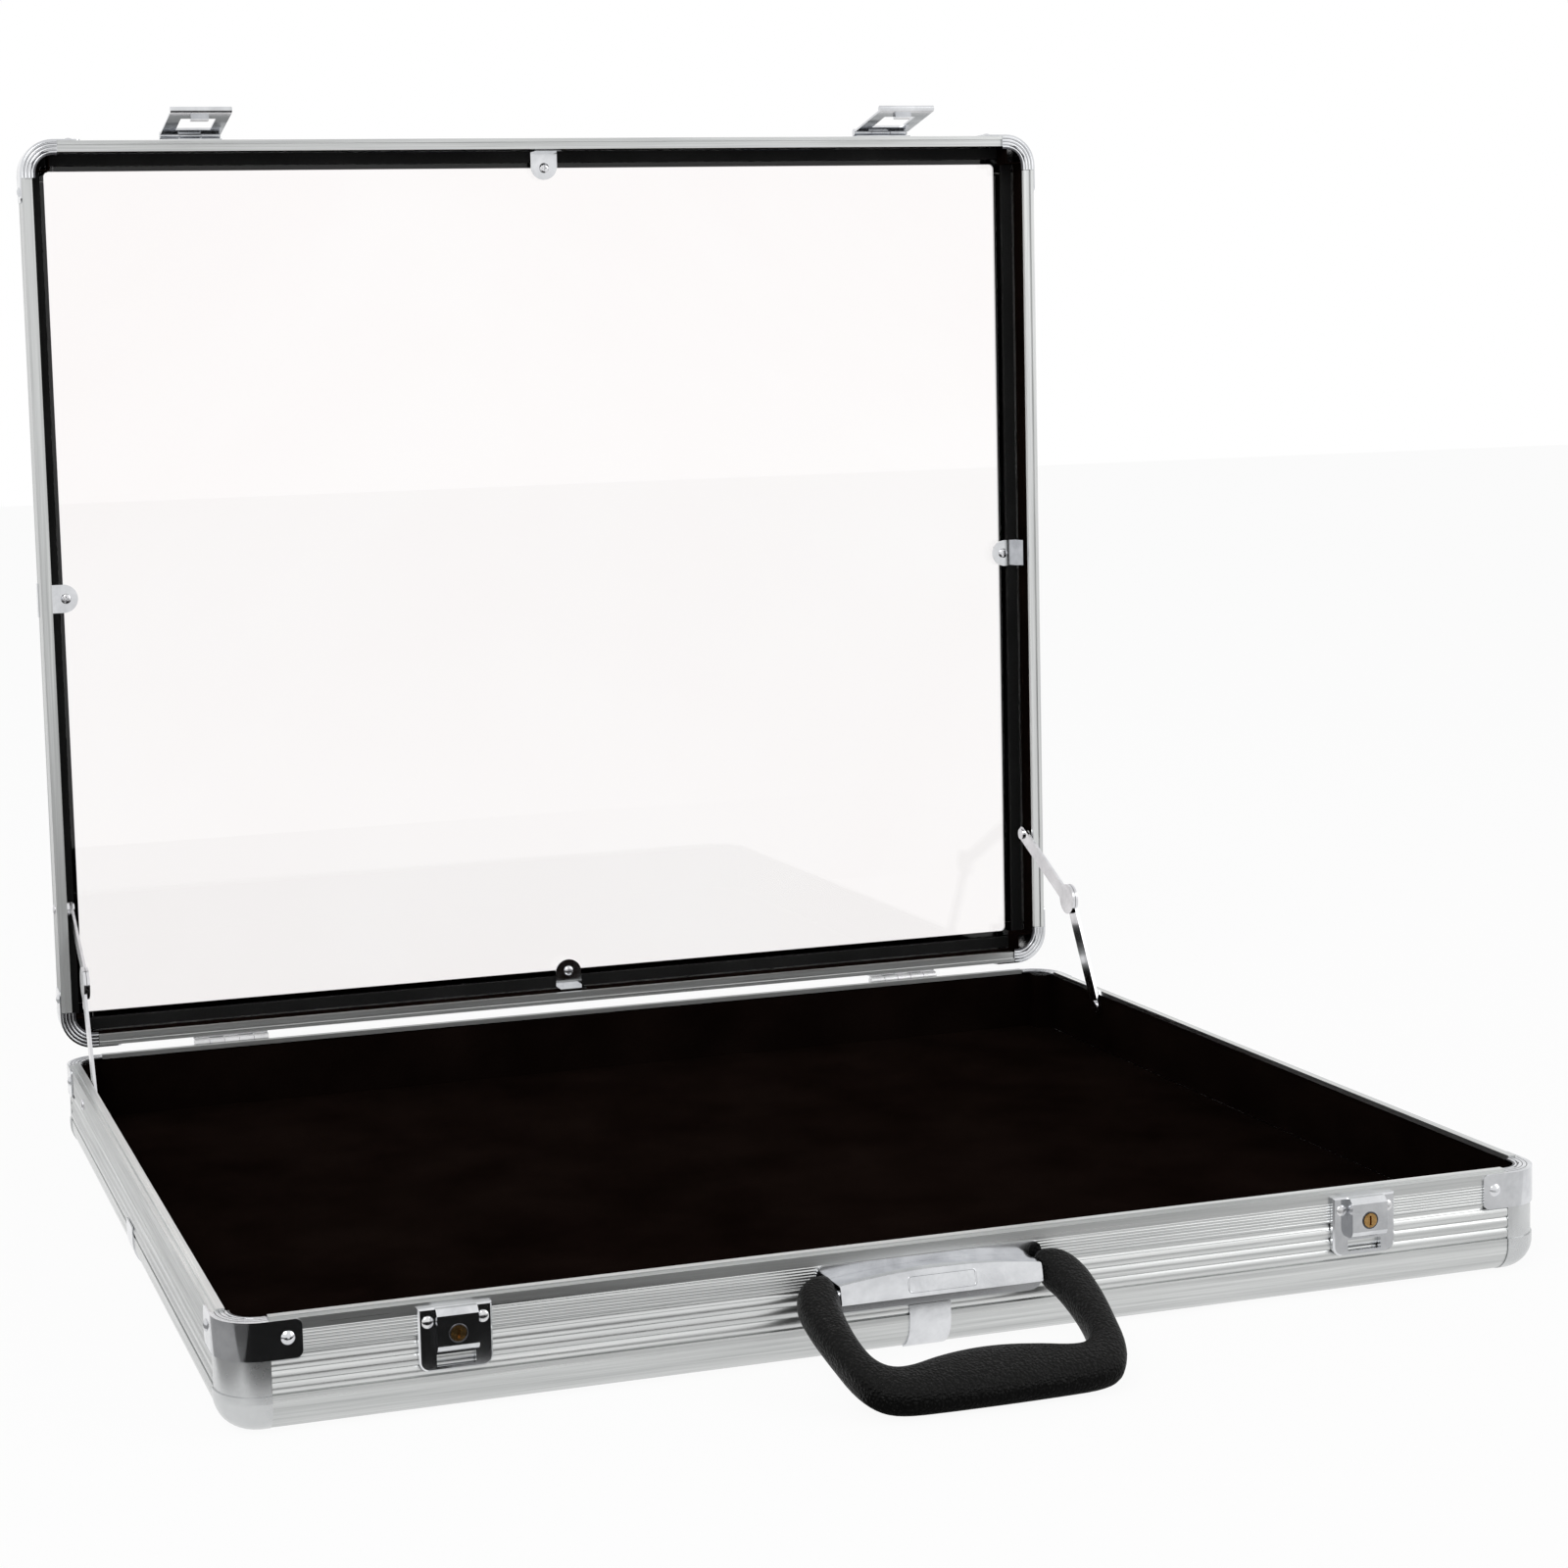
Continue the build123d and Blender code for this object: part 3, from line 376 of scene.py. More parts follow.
@dataclass(frozen=True)
class PebbledPlastic(Finish):
    """Moulded plastic with a pebbled grain."""

    pebbles: float = 800.0
    gloss: float = 0.09

    def build(self, groups: ShaderGroups) -> bpy.types.Material:
        """Make the material."""
        material, sketch, effect, shader = self.start(groups.pebble, Pebbles=self.pebbles)
        self.drive(sketch, shader, effect.outputs["Crest"], effect.outputs["Height"])
        shader.inputs["Specular IOR Level"].default_value = self.gloss
        return material


@dataclass(frozen=True)
class ClearGlass(Finish):
    """Clear glass with a very faint warm tint."""

    ior: float = 1.46

    def build(self, groups: ShaderGroups) -> bpy.types.Material:
        """Make the material."""
        material, sketch, effect, shader = self.start(groups.handling, Spread=2.2)
        self.drive(sketch, shader, effect.outputs["Mark"], None)
        shader.inputs["IOR"].default_value = self.ior
        shader.inputs["Transmission Weight"].default_value = 1.0
        return material


class Finishes:
    """Every material of the case, built once and given out by the place it covers."""

    def __init__(self) -> None:
        """Build the shader groups and the materials."""
        groups = ShaderGroups()
        satin_dark: Colour = (0.46, 0.47, 0.468)
        satin_light: Colour = (0.70, 0.71, 0.705)
        self.satin = {
            run: DrawnMetal("satin_aluminium_" + run.name.lower(), satin_dark, satin_light, 0.26, 0.40,
                            0.00002, run=run).build(groups)
            for run in (Run.ALONG_X, Run.ALONG_Y, Run.ALONG_Z)
        }
        self.cast = DrawnMetal("satin_corner", (0.54, 0.55, 0.555), (0.62, 0.63, 0.635), 0.22, 0.28, 0.0,
                               run=Run.NONE, fineness=120.0).build(groups)
        self.chrome = PolishedMetal("bright_chrome", (0.58, 0.59, 0.61), (0.78, 0.79, 0.81), 0.06, 0.16,
                                    0.0).build(groups)
        self.hinge = PolishedMetal("plated_hinge", (0.58, 0.58, 0.59), (0.74, 0.74, 0.75), 0.14, 0.26,
                                   0.0).build(groups)
        self.stay = PolishedMetal("stay_steel", (0.60, 0.60, 0.62), (0.80, 0.80, 0.82), 0.10, 0.2,
                                  0.0).build(groups)
        self.brass = PolishedMetal("lock_brass", (0.32, 0.18, 0.06), (0.70, 0.44, 0.18), 0.14, 0.3,
                                   0.0, spread=600.0).build(groups)
        # Near-black metal for beads that paint the shade in the clips' grooves and in the recess round each
        # lock cylinder.
        self.painted_shade = PolishedMetal("painted_shade_metal", (0.05, 0.05, 0.055), (0.14, 0.14, 0.15), 0.2, 0.35,
                                    0.0).build(groups)
        self.felt = Felt("black_felt", (0.0030, 0.0016, 0.0012), (0.0085, 0.0052, 0.0042), 0.9, 1.0,
                         0.00012).build(groups)
        self.board = Felt("panel_board", (0.018, 0.018, 0.019), (0.045, 0.044, 0.043), 0.7, 0.85, 0.0001,
                          fineness=500.0, gloss=0.2).build(groups)
        self.rubber = Felt("black_rubber", (0.008, 0.008, 0.008), (0.02, 0.02, 0.02), 0.5, 0.65, 0.00004,
                           fineness=900.0, gloss=0.05).build(groups)
        self.grip = PebbledPlastic("pebbled_grip", (0.0030, 0.0030, 0.0029), (0.012, 0.012, 0.0115),
                                   0.18, 0.40, 0.00042).build(groups)
        self.glass = ClearGlass("clear_glass", (0.975, 0.945, 0.940), (1.0, 0.990, 0.986), 0.0, 0.0,
                                0.0).build(groups)


# Mesh and Geometry Nodes helpers


def paint_node(name: str, material: bpy.types.Material) -> None:
    """Give a CAD node its material, in every slot of its object."""
    for material_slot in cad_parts[name].material_slots:
        material_slot.material = material
    log.info("finish %s on %s", material.name, name)


def mesh_object(name: str, mesh: bpy.types.Mesh) -> bpy.types.Object:
    """Put a mesh into the scene as an object at the origin."""
    made = bpy.data.objects.new(name, mesh)
    bpy.context.scene.collection.objects.link(made)
    return made


def built_mesh(name: str, build: bmesh.types.BMesh) -> bpy.types.Mesh:
    """Turn a finished build into a mesh with its faces pointing outwards."""
    bmesh.ops.recalc_face_normals(build, faces=build.faces)
    mesh = bpy.data.meshes.new(name)
    build.to_mesh(mesh)
    build.free()
    return mesh


def applied_mesh(piece: bpy.types.Object) -> bpy.types.Mesh:
    """Mesh of an object with its modifiers applied."""
    depsgraph = bpy.context.evaluated_depsgraph_get()
    return bpy.data.meshes.new_from_object(piece.evaluated_get(depsgraph), depsgraph=depsgraph)


def dress(piece: bpy.types.Object, body: str, material: Optional[bpy.types.Material] = None,
          smooth_angle: float = 35.0) -> bpy.types.Object:
    """Finish a piece: shading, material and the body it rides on.

    Args:
        piece: The piece, with its place in its mesh.
        body: CAD body that carries it.
        material: Its material, or None where the mesh already has one.
        smooth_angle: Edges sharper than this stay crisp, in degrees.

    Returns:
        The piece.
    """
    if material is not None:
        piece.data.materials.clear()
        piece.data.materials.append(material)
    piece.data.shade_smooth()
    piece.data.set_sharp_from_angle(angle=math.radians(smooth_angle))
    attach(piece, body)
    log.info("piece %s rides on %s, %d faces", piece.name, body, len(piece.data.polygons))
    return piece


class GrowingTree:
    """A Geometry Nodes tree with named inputs, grown from a seed mesh."""

    def __init__(self, name: str, sizes: dict[str, tuple[str, object]]) -> None:
        """Start the tree.

        Args:
            name: Name of the tree.
            sizes: Input name to socket type and default value.
        """
        self.tree = bpy.data.node_groups.new(name, "GeometryNodeTree")
        self.tree.interface.new_socket("Geometry", in_out="INPUT", socket_type="NodeSocketGeometry")
        for label, (kind, value) in sizes.items():
            socket = self.tree.interface.new_socket(label, in_out="INPUT", socket_type=kind)
            if value is not None:
                socket.default_value = value
        self.tree.interface.new_socket("Finish", in_out="INPUT", socket_type="NodeSocketMaterial")
        self.tree.interface.new_socket("Geometry", in_out="OUTPUT", socket_type="NodeSocketGeometry")
        self.sketch = ShaderSketch(self.tree)
        self.start = self.tree.nodes.new("NodeGroupInput")
        self.end = self.tree.nodes.new("NodeGroupOutput")

    def close(self, geometry: bpy.types.NodeSocket) -> None:
        """Realize what was made, set its material and send it out."""
        real = self.sketch.node("GeometryNodeRealizeInstances", Geometry=geometry)
        done = self.sketch.node("GeometryNodeSetMaterial", Geometry=real.outputs[0],
                                Material=self.start.outputs["Finish"])
        self.sketch.link(done.outputs[0], self.end.inputs["Geometry"])

    def place_heads(self, head: bpy.types.NodeSocket, size: bpy.types.NodeSocket) -> None:
        """Put a head on each point of the seed, facing the way the point says, and close the tree.

        Args:
            head: Geometry of one head.
            size: Its scale.
        """
        facing = self.sketch.node("GeometryNodeInputNamedAttribute", data_type="FLOAT_VECTOR", Name="facing")
        turn = self.sketch.node("FunctionNodeAlignRotationToVector", axis="Z",
                                Vector=facing.outputs["Attribute"])
        heads = self.sketch.node("GeometryNodeInstanceOnPoints", Points=self.start.outputs["Geometry"],
                                 Instance=head, Rotation=turn.outputs[0], Scale=size)
        self.close(heads.outputs[0])

    def grow(self, name: str, seed: bpy.types.Mesh, values: dict[str, object]) -> bpy.types.Object:
        """Run the tree on a seed and keep the result as a plain mesh.

        Args:
            name: Name of the piece.
            seed: Mesh of points or edges that the tree starts from.
            values: Input name to value.

        Returns:
            The piece, with no modifier left on it.
        """
        piece = mesh_object(name, seed)
        modifier = piece.modifiers.new("grow", "NODES")
        modifier.node_group = self.tree
        for socket in self.tree.interface.items_tree:
            if socket.in_out == "INPUT" and socket.name in values:
                modifier[socket.identifier] = values[socket.name]
        mesh = applied_mesh(piece)
        piece.modifiers.remove(modifier)
        piece.data = mesh
        return piece


def domed_heads_tree() -> GrowingTree:
    """Domed rivet heads on points, each facing the way its point says."""
    growing = GrowingTree("DomedHeads", {"Head radius": ("NodeSocketFloat", 0.0025),
                                         "Head height": ("NodeSocketFloat", 0.001)})
    sketch, start = growing.sketch, growing.start
    ball = sketch.node("GeometryNodeMeshUVSphere", Segments=28, Rings=14, Radius=1.0)
    radius = start.outputs["Head radius"]
    shape = sketch.node("ShaderNodeCombineXYZ", X=radius, Y=radius, Z=start.outputs["Head height"])
    growing.place_heads(ball.outputs["Mesh"], shape.outputs[0])
    return growing


def screws_tree() -> GrowingTree:
    """Copies of a modelled screw head on points, each facing the way its point says."""
    growing = GrowingTree("ScrewHeads", {"Head": ("NodeSocketObject", None),
                                         "Head radius": ("NodeSocketFloat", 0.003)})
    sketch, start = growing.sketch, growing.start
    head = sketch.node("GeometryNodeObjectInfo", Object=start.outputs["Head"])
    radius = start.outputs["Head radius"]
    size = sketch.node("ShaderNodeCombineXYZ", X=radius, Y=radius, Z=radius)
    growing.place_heads(head.outputs["Geometry"], size.outputs[0])
    return growing


def beads_tree() -> GrowingTree:
    """A round bead along every run of edges in the seed."""
    growing = GrowingTree("PressedBeads", {"Bead radius": ("NodeSocketFloat", 0.0004)})
    sketch, start = growing.sketch, growing.start
    path = sketch.node("GeometryNodeMeshToCurve", Mesh=start.outputs["Geometry"])
    ring = sketch.node("GeometryNodeCurvePrimitiveCircle", Resolution=10, Radius=start.outputs["Bead radius"])
    bead = sketch.node("GeometryNodeCurveToMesh", Curve=path.outputs[0], Profile_Curve=ring.outputs["Curve"])
    bead.inputs["Fill Caps"].default_value = True
    growing.close(bead.outputs[0])
    return growing


def point_seed(points: Sequence[Point], facings: Sequence[Point]) -> bpy.types.Mesh:
    """Mesh of loose points, each with the way it faces.

    Args:
        points: Places in metres.
        facings: Outward directions.

    Returns:
        The seed mesh.
    """
    mesh = bpy.data.meshes.new("seed")
    mesh.from_pydata([tuple(point) for point in points], [], [])
    facing = mesh.attributes.new("facing", "FLOAT_VECTOR", "POINT")
    for item, direction in zip(facing.data, facings):
        item.vector = direction
    return mesh


def path_seed(paths: Iterable[tuple[Sequence[Point], bool]]) -> bpy.types.Mesh:
    """Mesh of edges along paths.

    Args:
        paths: Points of each path and whether it closes.

    Returns:
        The seed mesh.
    """
    points: list[Point] = []
    edges: list[tuple[int, int]] = []
    for path, closed in paths:
        first = len(points)
        points.extend(path)
        edges.extend((first + number, first + number + 1) for number in range(len(path) - 1))
        if closed:
            edges.append((len(points) - 1, first))
    mesh = bpy.data.meshes.new("seed")
    mesh.from_pydata(points, edges, [])
    return mesh


def rounded_path(half_x: float, half_z: float, radius: float, steps: int = 6) -> list[tuple[float, float]]:
    """Points of a rounded rectangle about the origin.

    Args:
        half_x: Half its width.
        half_z: Half its height.
        radius: Corner radius.
        steps: Points in each corner.

    Returns:
        The points, anticlockwise.
    """
    points = []
    for corner, (sign_x, sign_z) in enumerate(((1, 1), (-1, 1), (-1, -1), (1, -1))):
        for step in range(steps + 1):
            angle = math.radians(90 * (corner + step / steps))
            points.append((sign_x * (half_x - radius) + radius * math.cos(angle),
                           sign_z * (half_z - radius) + radius * math.sin(angle)))
    return points


def stacked_rings(name: str, rings: Sequence[Sequence[Point]]) -> bpy.types.Mesh:
    """Closed mesh from rings of equal count, capped at both ends.

    Args:
        name: Name of the mesh.
        rings: Rings of points from the bottom up, each anticlockwise from above.

    Returns:
        The mesh, with its faces pointing outwards.
    """
    build = bmesh.new()
    made = [[build.verts.new(point) for point in ring] for ring in rings]
    count = len(rings[0])
    for low, high in zip(made, made[1:]):
        for number in range(count):
            after = (number + 1) % count
            build.faces.new((low[number], low[after], high[after], high[number]))
    build.faces.new(list(reversed(made[0])))
    build.faces.new(made[-1])
    return built_mesh(name, build)


def soft_boards(name: str, boards: Sequence[tuple[Point, Point]], edge: float) -> bpy.types.Mesh:
    """Thin covered boards with their edges rolled over.

    Args:
        name: Name of the mesh.
        boards: Lowest and highest corner of each board.
        edge: Radius of the rolled edge.

    Returns:
        One mesh with all the boards.
    """
    build = bmesh.new()
    for low, high in boards:
        centre = [(a + b) / 2 for a, b in zip(low, high)]
        size = [b - a for a, b in zip(low, high)]
        matrix = Matrix.Translation(centre) @ Matrix.Diagonal((*size, 1.0))
        cube = bmesh.ops.create_cube(build, size=1.0, matrix=matrix)
        edges = {edge_item for vert in cube["verts"] for edge_item in vert.link_edges}
        bmesh.ops.bevel(build, geom=list(edges), offset=edge, segments=4, profile=0.5, affect="EDGES")
    return built_mesh(name, build)


class Kit:
    """What the sub-assemblies share: sizes, finishes and growing trees."""

    def __init__(self) -> None:
        """Build the finishes and the trees."""
        self.case = CaseSizes()
        self.finishes = Finishes()
        self.heads = domed_heads_tree()
        self.screws = screws_tree()
        self.beads = beads_tree()

    def corners(self) -> list[tuple[int, int]]:
        """Signs of the four corners in X and Y."""
        return [(-1, -1), (1, -1), (1, 1), (-1, 1)]

    def rivets(self, name: str, body: str, slot: str, material: bpy.types.Material,
               places: Sequence[tuple[Point, Point]], radius: float, height: float) -> bpy.types.Object:
        """Grow domed heads and dress them.

        Args:
            name: Name of the piece.
            body: CAD body that carries them.
            slot: Not used.
            material: Their finish.
            places: Seat and outward direction of each head.
            radius: Head radius.
            height: How far a head stands out.

        Returns:
            The piece.
        """
        seed = point_seed([place for place, _ in places], [facing for _, facing in places])
        piece = self.heads.grow(name, seed, {"Head radius": radius, "Head height": height,
                                             "Finish": material})
        return dress(piece, body)

    def bead(self, name: str, body: str, slot: str, material: bpy.types.Material,
             paths: Iterable[tuple[Sequence[Point], bool]], radius: float) -> bpy.types.Object:
        """Grow beads along paths and dress them.

        Args:
            name: Name of the piece.
            body: CAD body that carries them.
            slot: Not used.
            material: Their finish.
            paths: Points of each path and whether it closes.
            radius: Radius of the bead.

        Returns:
            The piece.
        """
        piece = self.beads.grow(name, path_seed(paths), {"Bead radius": radius, "Finish": material})
        return dress(piece, body, smooth_angle=60.0)


# Sub-assemblies


@dataclass
class WallFrame:
    """The eight drawn walls."""

    kit: Kit

    def dress_nodes(self) -> None:
        """Give each wall the satin finish with streaks along its length."""
        satin = self.kit.finishes.satin
        for half, side_run in (("base", Run.ALONG_Y), ("lid", Run.ALONG_Z)):
            for side in ("front", "back"):
                paint_node(f"{half}_wall_{side}", satin[Run.ALONG_X])
            for side in ("left", "right"):
                paint_node(f"{half}_wall_{side}", satin[side_run])


@dataclass
class CornerTrim:
    """Corner posts, ball corners, rim clips with their pressed ridges, rivets and strap clips."""

    kit: Kit
    ridge_count: int = 4
    ridge_outer: float = 17.4 * MM
    ridge_pitch: float = 1.9 * MM
    ridge_leg: float = 2.2 * MM
    bead_radius: float = 0.55 * MM
    bead_proud: float = 0.13 * MM
    # How far the dark beads of painted groove shade stand out of the clip.
    shade_bead_proud: float = 0.05 * MM
    rim_gap: float = 0.15 * MM
    arc_steps: int = 10

    def ridge_paths(self, on_lid: bool, proud: float, offset: float) -> list[tuple[list[Point], bool]]:
        """Paths of the ridges, or of the dark beads of painted shade between them, round each corner of one
        rim.

        Args:
            on_lid: True for the lid's rim, which is open at rest.
            proud: How far they stand out of the clip.
            offset: How far inwards they lie from the ridges, in pitches.

        Returns:
            The paths, each open.
        """
        case = self.kit.case
        way = 1 if on_lid else -1
        sunk = self.bead_radius - proud
        z = case.base_height + way * (self.rim_gap + sunk)
        paths = []
        for sign_x, sign_y in self.kit.corners():
            middle_x = case.half_width - case.corner_radius
            middle_y = case.half_depth - case.corner_radius
            for number in range(self.ridge_count):
                radius = self.ridge_outer - (number + offset) * self.ridge_pitch
                path = [(middle_x - self.ridge_leg, middle_y + radius)]
                angles = [math.radians(90 * step / self.arc_steps) for step in range(self.arc_steps + 1)]
                path += [(middle_x + radius * math.sin(angle), middle_y + radius * math.cos(angle))
                         for angle in angles]
                path.append((middle_x + radius, middle_y - self.ridge_leg))
                points = [(sign_x * x, sign_y * y, z) for x, y in path]
                paths.append(([case.on_open_lid(point) for point in points] if on_lid else points, False))
        return paths

    def build(self) -> None:
        """Make the ridges, and dark beads between them that paint the shade in the grooves."""
        finishes = self.kit.finishes
        for half, on_lid in (("base", False), ("lid", True)):
            self.kit.bead(f"{half}_clip_ridges", half, "bright_chrome", finishes.chrome,
                          self.ridge_paths(on_lid, self.bead_proud, 0.0), self.bead_radius)
            # Dark beads half a pitch inwards: painted shade of the grooves between the ridges.
            self.kit.bead(f"{half}_clip_grooves", half, "bright_chrome", finishes.painted_shade,
                          self.ridge_paths(on_lid, self.shade_bead_proud, 0.5), self.bead_radius)

    def dress_nodes(self) -> None:
        """Give the corner nodes their finishes."""
        finishes = self.kit.finishes
        for half in ("base", "lid"):
            paint_node(f"{half}_corner_posts", finishes.cast)
            paint_node(f"{half}_ball_corners", finishes.cast)
            paint_node(f"{half}_rim_clips", finishes.chrome)
            paint_node(f"{half}_corner_rivets", finishes.chrome)
            paint_node(f"{half}_strap_clips", finishes.chrome)


@dataclass
class FeltInterior:
    """Display pad, felt boards behind the walls and felt strips in the corners.

    pad_undercut holds inset and height over pad_low for each ring of the pad's sides, and pad_top the insets
    of the rings of its top, in millimetres. The crown rises within crown_reach.
    """

    kit: Kit
    pad_inset: float = 5.9 * MM
    pad_corner: float = 10.3 * MM
    pad_low: float = 4.7 * MM
    pad_high: float = 14.3 * MM
    pad_edge: float = 1.6 * MM
    pad_crown: float = 0.6 * MM
    pad_undercut: tuple[tuple[float, float], ...] = ((4.6, 0.0), (0.3, 4.8), (0.0, 5.6))
    pad_top: tuple[int, ...] = (6, 12, 22, 38, 60, 100, 160, 220)
    crown_reach: float = 30.0
    board_ease: float = 0.15 * MM
    board_edge: float = 0.2 * MM
    corner_strip: float = 0.5 * MM
    strip_gap: float = 0.1 * MM
    strip_lap: float = 0.2 * MM
    post_gap: float = 0.25 * MM
    board_foot: float = 1.6 * MM

    def pad_ring(self, inset: float, z: float) -> list[Point]:
        """One ring of the pad: a rectangle with its corners cut and eased.

        Args:
            inset: Distance inwards from the pad's edge.
            z: Height of the ring.

        Returns:
            The points, anticlockwise from above.
        """
        case = self.kit.case
        half_x = case.half_width - self.pad_inset - inset
        half_y = case.half_depth - self.pad_inset - inset
        cut = max(self.pad_corner - inset * (2 - math.sqrt(2)), 0.5 * MM)
        ease = cut * 0.3
        quarter = [(half_x, half_y - cut - ease), (half_x - ease * 0.12, half_y - cut + ease * 0.2),
                   (half_x - cut + ease * 0.2, half_y - ease * 0.12), (half_x - cut - ease, half_y)]
        ring = list(quarter)
        ring += [(-x, y) for x, y in reversed(quarter)]
        ring += [(-x, -y) for x, y in quarter]
        ring += [(x, -y) for x, y in reversed(quarter)]
        return [(x, y, z) for x, y in ring]

    def make_pad(self) -> bpy.types.Object:
        """Felt pad with its top edge rolled over and a slight crown."""
        rings = [self.pad_ring(inset * MM, self.pad_low + height * MM) for inset, height in self.pad_undercut]
        rim = self.pad_high - self.pad_crown
        for step in range(1, 7):
            angle = math.radians(15 * step)
            rings.append(self.pad_ring(self.pad_edge * (1 - math.cos(angle)),
                                       rim - self.pad_edge * (1 - math.sin(angle))))
        for inward in self.pad_top:
            rise = self.pad_crown * (1 - math.exp(-inward / self.crown_reach))
            rings.append(self.pad_ring(inward * MM, rim + rise))
        piece = mesh_object("felt_display_pad", stacked_rings("felt_display_pad", rings))
        dress(piece, "base", self.kit.finishes.felt, 50.0)
        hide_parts("display_pad")
        return piece

    def make_boards(self, half: str) -> bpy.types.Object:
        """Felt boards behind the four walls of one half, with a strip in each corner.

        Args:
            half: base or lid, which is also the CAD body.

        Returns:
            The piece that stands for the half's liner boards.
        """
        case, ease = self.kit.case, self.board_ease
        low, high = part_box(f"{half}_liner_boards")
        on_lid = half == "lid"
        if on_lid:
            closed = case.base_height - case.hinge_y
            bottom, top = low[1] + closed + ease, high[1] + closed - ease
        else:
            bottom, top = low[2] - self.board_foot + ease, high[2] - ease
        outer_x, outer_y = case.half_width - case.skin, case.half_depth - case.skin
        face_x, face_y = outer_x - case.liner, outer_y - case.liner
        long_x = case.half_width - case.post_block - self.post_gap
        long_y = case.half_depth - case.post_block - self.post_gap
        boards = []
        for sign in (-1, 1):
            boards.append(self.between(sign * (outer_x - ease), sign * (face_x + ease), -long_y, long_y,
                                       bottom, top))
            boards.append(self.between(-long_x, long_x, sign * (outer_y - ease), sign * (face_y + ease),
                                       bottom, top))
        for sign_x, sign_y in self.kit.corners():
            post_x = sign_x * (case.half_width - case.post_block - self.strip_gap)
            post_y = sign_y * (case.half_depth - case.post_block - self.strip_gap)
            strip_x = post_x - sign_x * self.corner_strip
            strip_y = post_y - sign_y * self.corner_strip
            boards.append(self.between(strip_x, post_x, strip_y, sign_y * (face_y + self.strip_lap),
                                       bottom, top))
            boards.append(self.between(post_x, sign_x * (face_x + self.strip_lap), strip_y, post_y,
                                       bottom, top))
        if on_lid:
            boards = [self.opened(board) for board in boards]
        name = f"{half}_felt_boards"
        piece = mesh_object(name, soft_boards(name, boards, self.board_edge))
        dress(piece, half, self.kit.finishes.felt, 50.0)
        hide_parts(f"{half}_liner_boards")
        return piece

    @staticmethod
    def between(x_a: float, x_b: float, y_a: float, y_b: float, z_a: float,
                z_b: float) -> tuple[Point, Point]:
        """Lowest and highest corner of the box between two corners."""
        return (min(x_a, x_b), min(y_a, y_b), z_a), (max(x_a, x_b), max(y_a, y_b), z_b)

    def opened(self, board: tuple[Point, Point]) -> tuple[Point, Point]:
        """Turn a board of the closed lid to the open lid."""
        one, two = (self.kit.case.on_open_lid(corner) for corner in board)
        return tuple(min(a, b) for a, b in zip(one, two)), tuple(max(a, b) for a, b in zip(one, two))

    def build(self) -> None:
        """Make the soft pieces and finish the bottom panel."""
        self.make_pad()
        self.make_boards("base")
        self.make_boards("lid")
        paint_node("bottom_panel", self.kit.finishes.board)


@dataclass
class LidGlazing:
    """Glass pane, its rubber frame, the four clips and their screws."""

    kit: Kit
    screw_radius: float = 2.9 * MM
    screw_inward: float = 10.2 * MM
    clip_face: float = 18.3 * MM

    def screw_head(self) -> bpy.types.Object:
        """Pan head of radius 1 with a cross recess, kept out of the part once it has been copied."""
        build = bmesh.new()
        profile = ((1.0, -0.25), (1.0, 0.12), (0.96, 0.24), (0.82, 0.36), (0.62, 0.43))
        sides = 32
        ways = [(math.cos(2 * math.pi * k / sides), math.sin(2 * math.pi * k / sides)) for k in range(sides)]
        rings = [[build.verts.new((r * x, r * y, z)) for x, y in ways] for r, z in profile]
        for low, high in zip(rings, rings[1:]):
            for k in range(sides):
                build.faces.new((low[k], low[(k + 1) % sides], high[(k + 1) % sides], high[k]))
        cross_top, cross_low = [], []
        for k, (x, y) in enumerate(ways):
            reach = 0.52 if k % 8 == 0 else 0.40 if k % 8 in (1, 7) else 0.17
            cross_top.append(build.verts.new((reach * x, reach * y, 0.46)))
            cross_low.append(build.verts.new((reach * 0.5 * x, reach * 0.5 * y, 0.12)))
        for outer, inner in ((rings[-1], cross_top), (cross_top, cross_low)):
            for k in range(sides):
                build.faces.new((outer[k], outer[(k + 1) % sides], inner[(k + 1) % sides], inner[k]))
        build.faces.new(cross_low)
        build.faces.new(list(reversed(rings[0])))
        return mesh_object("pan_head", built_mesh("pan_head", build))

    def build(self) -> None:
        """Make the clip screws and finish the glass, its frame and its clips."""
        case, finishes = self.kit.case, self.kit.finishes
        z = case.base_height + self.clip_face
        reach_x = case.half_width - case.skin - case.liner - self.screw_inward
        reach_y = case.half_depth - case.skin - case.liner - self.screw_inward
        places = [case.on_open_lid(point) for point in ((reach_x, 0, z), (-reach_x, 0, z), (0, reach_y, z),
                                                        (0, -reach_y, z))]
        head = self.screw_head()
        seed = point_seed(places, [(0.0, -1.0, 0.0)] * len(places))
        piece = self.kit.screws.grow("glass_clip_screws", seed, {
            "Head": head, "Head radius": self.screw_radius, "Finish": finishes.stay})
        bpy.data.objects.remove(head)
        dress(piece, "lid")
        paint_node("glass_pane", finishes.glass)
        paint_node("glazing_gasket", finishes.rubber)
        paint_node("glass_clips", finishes.chrome)


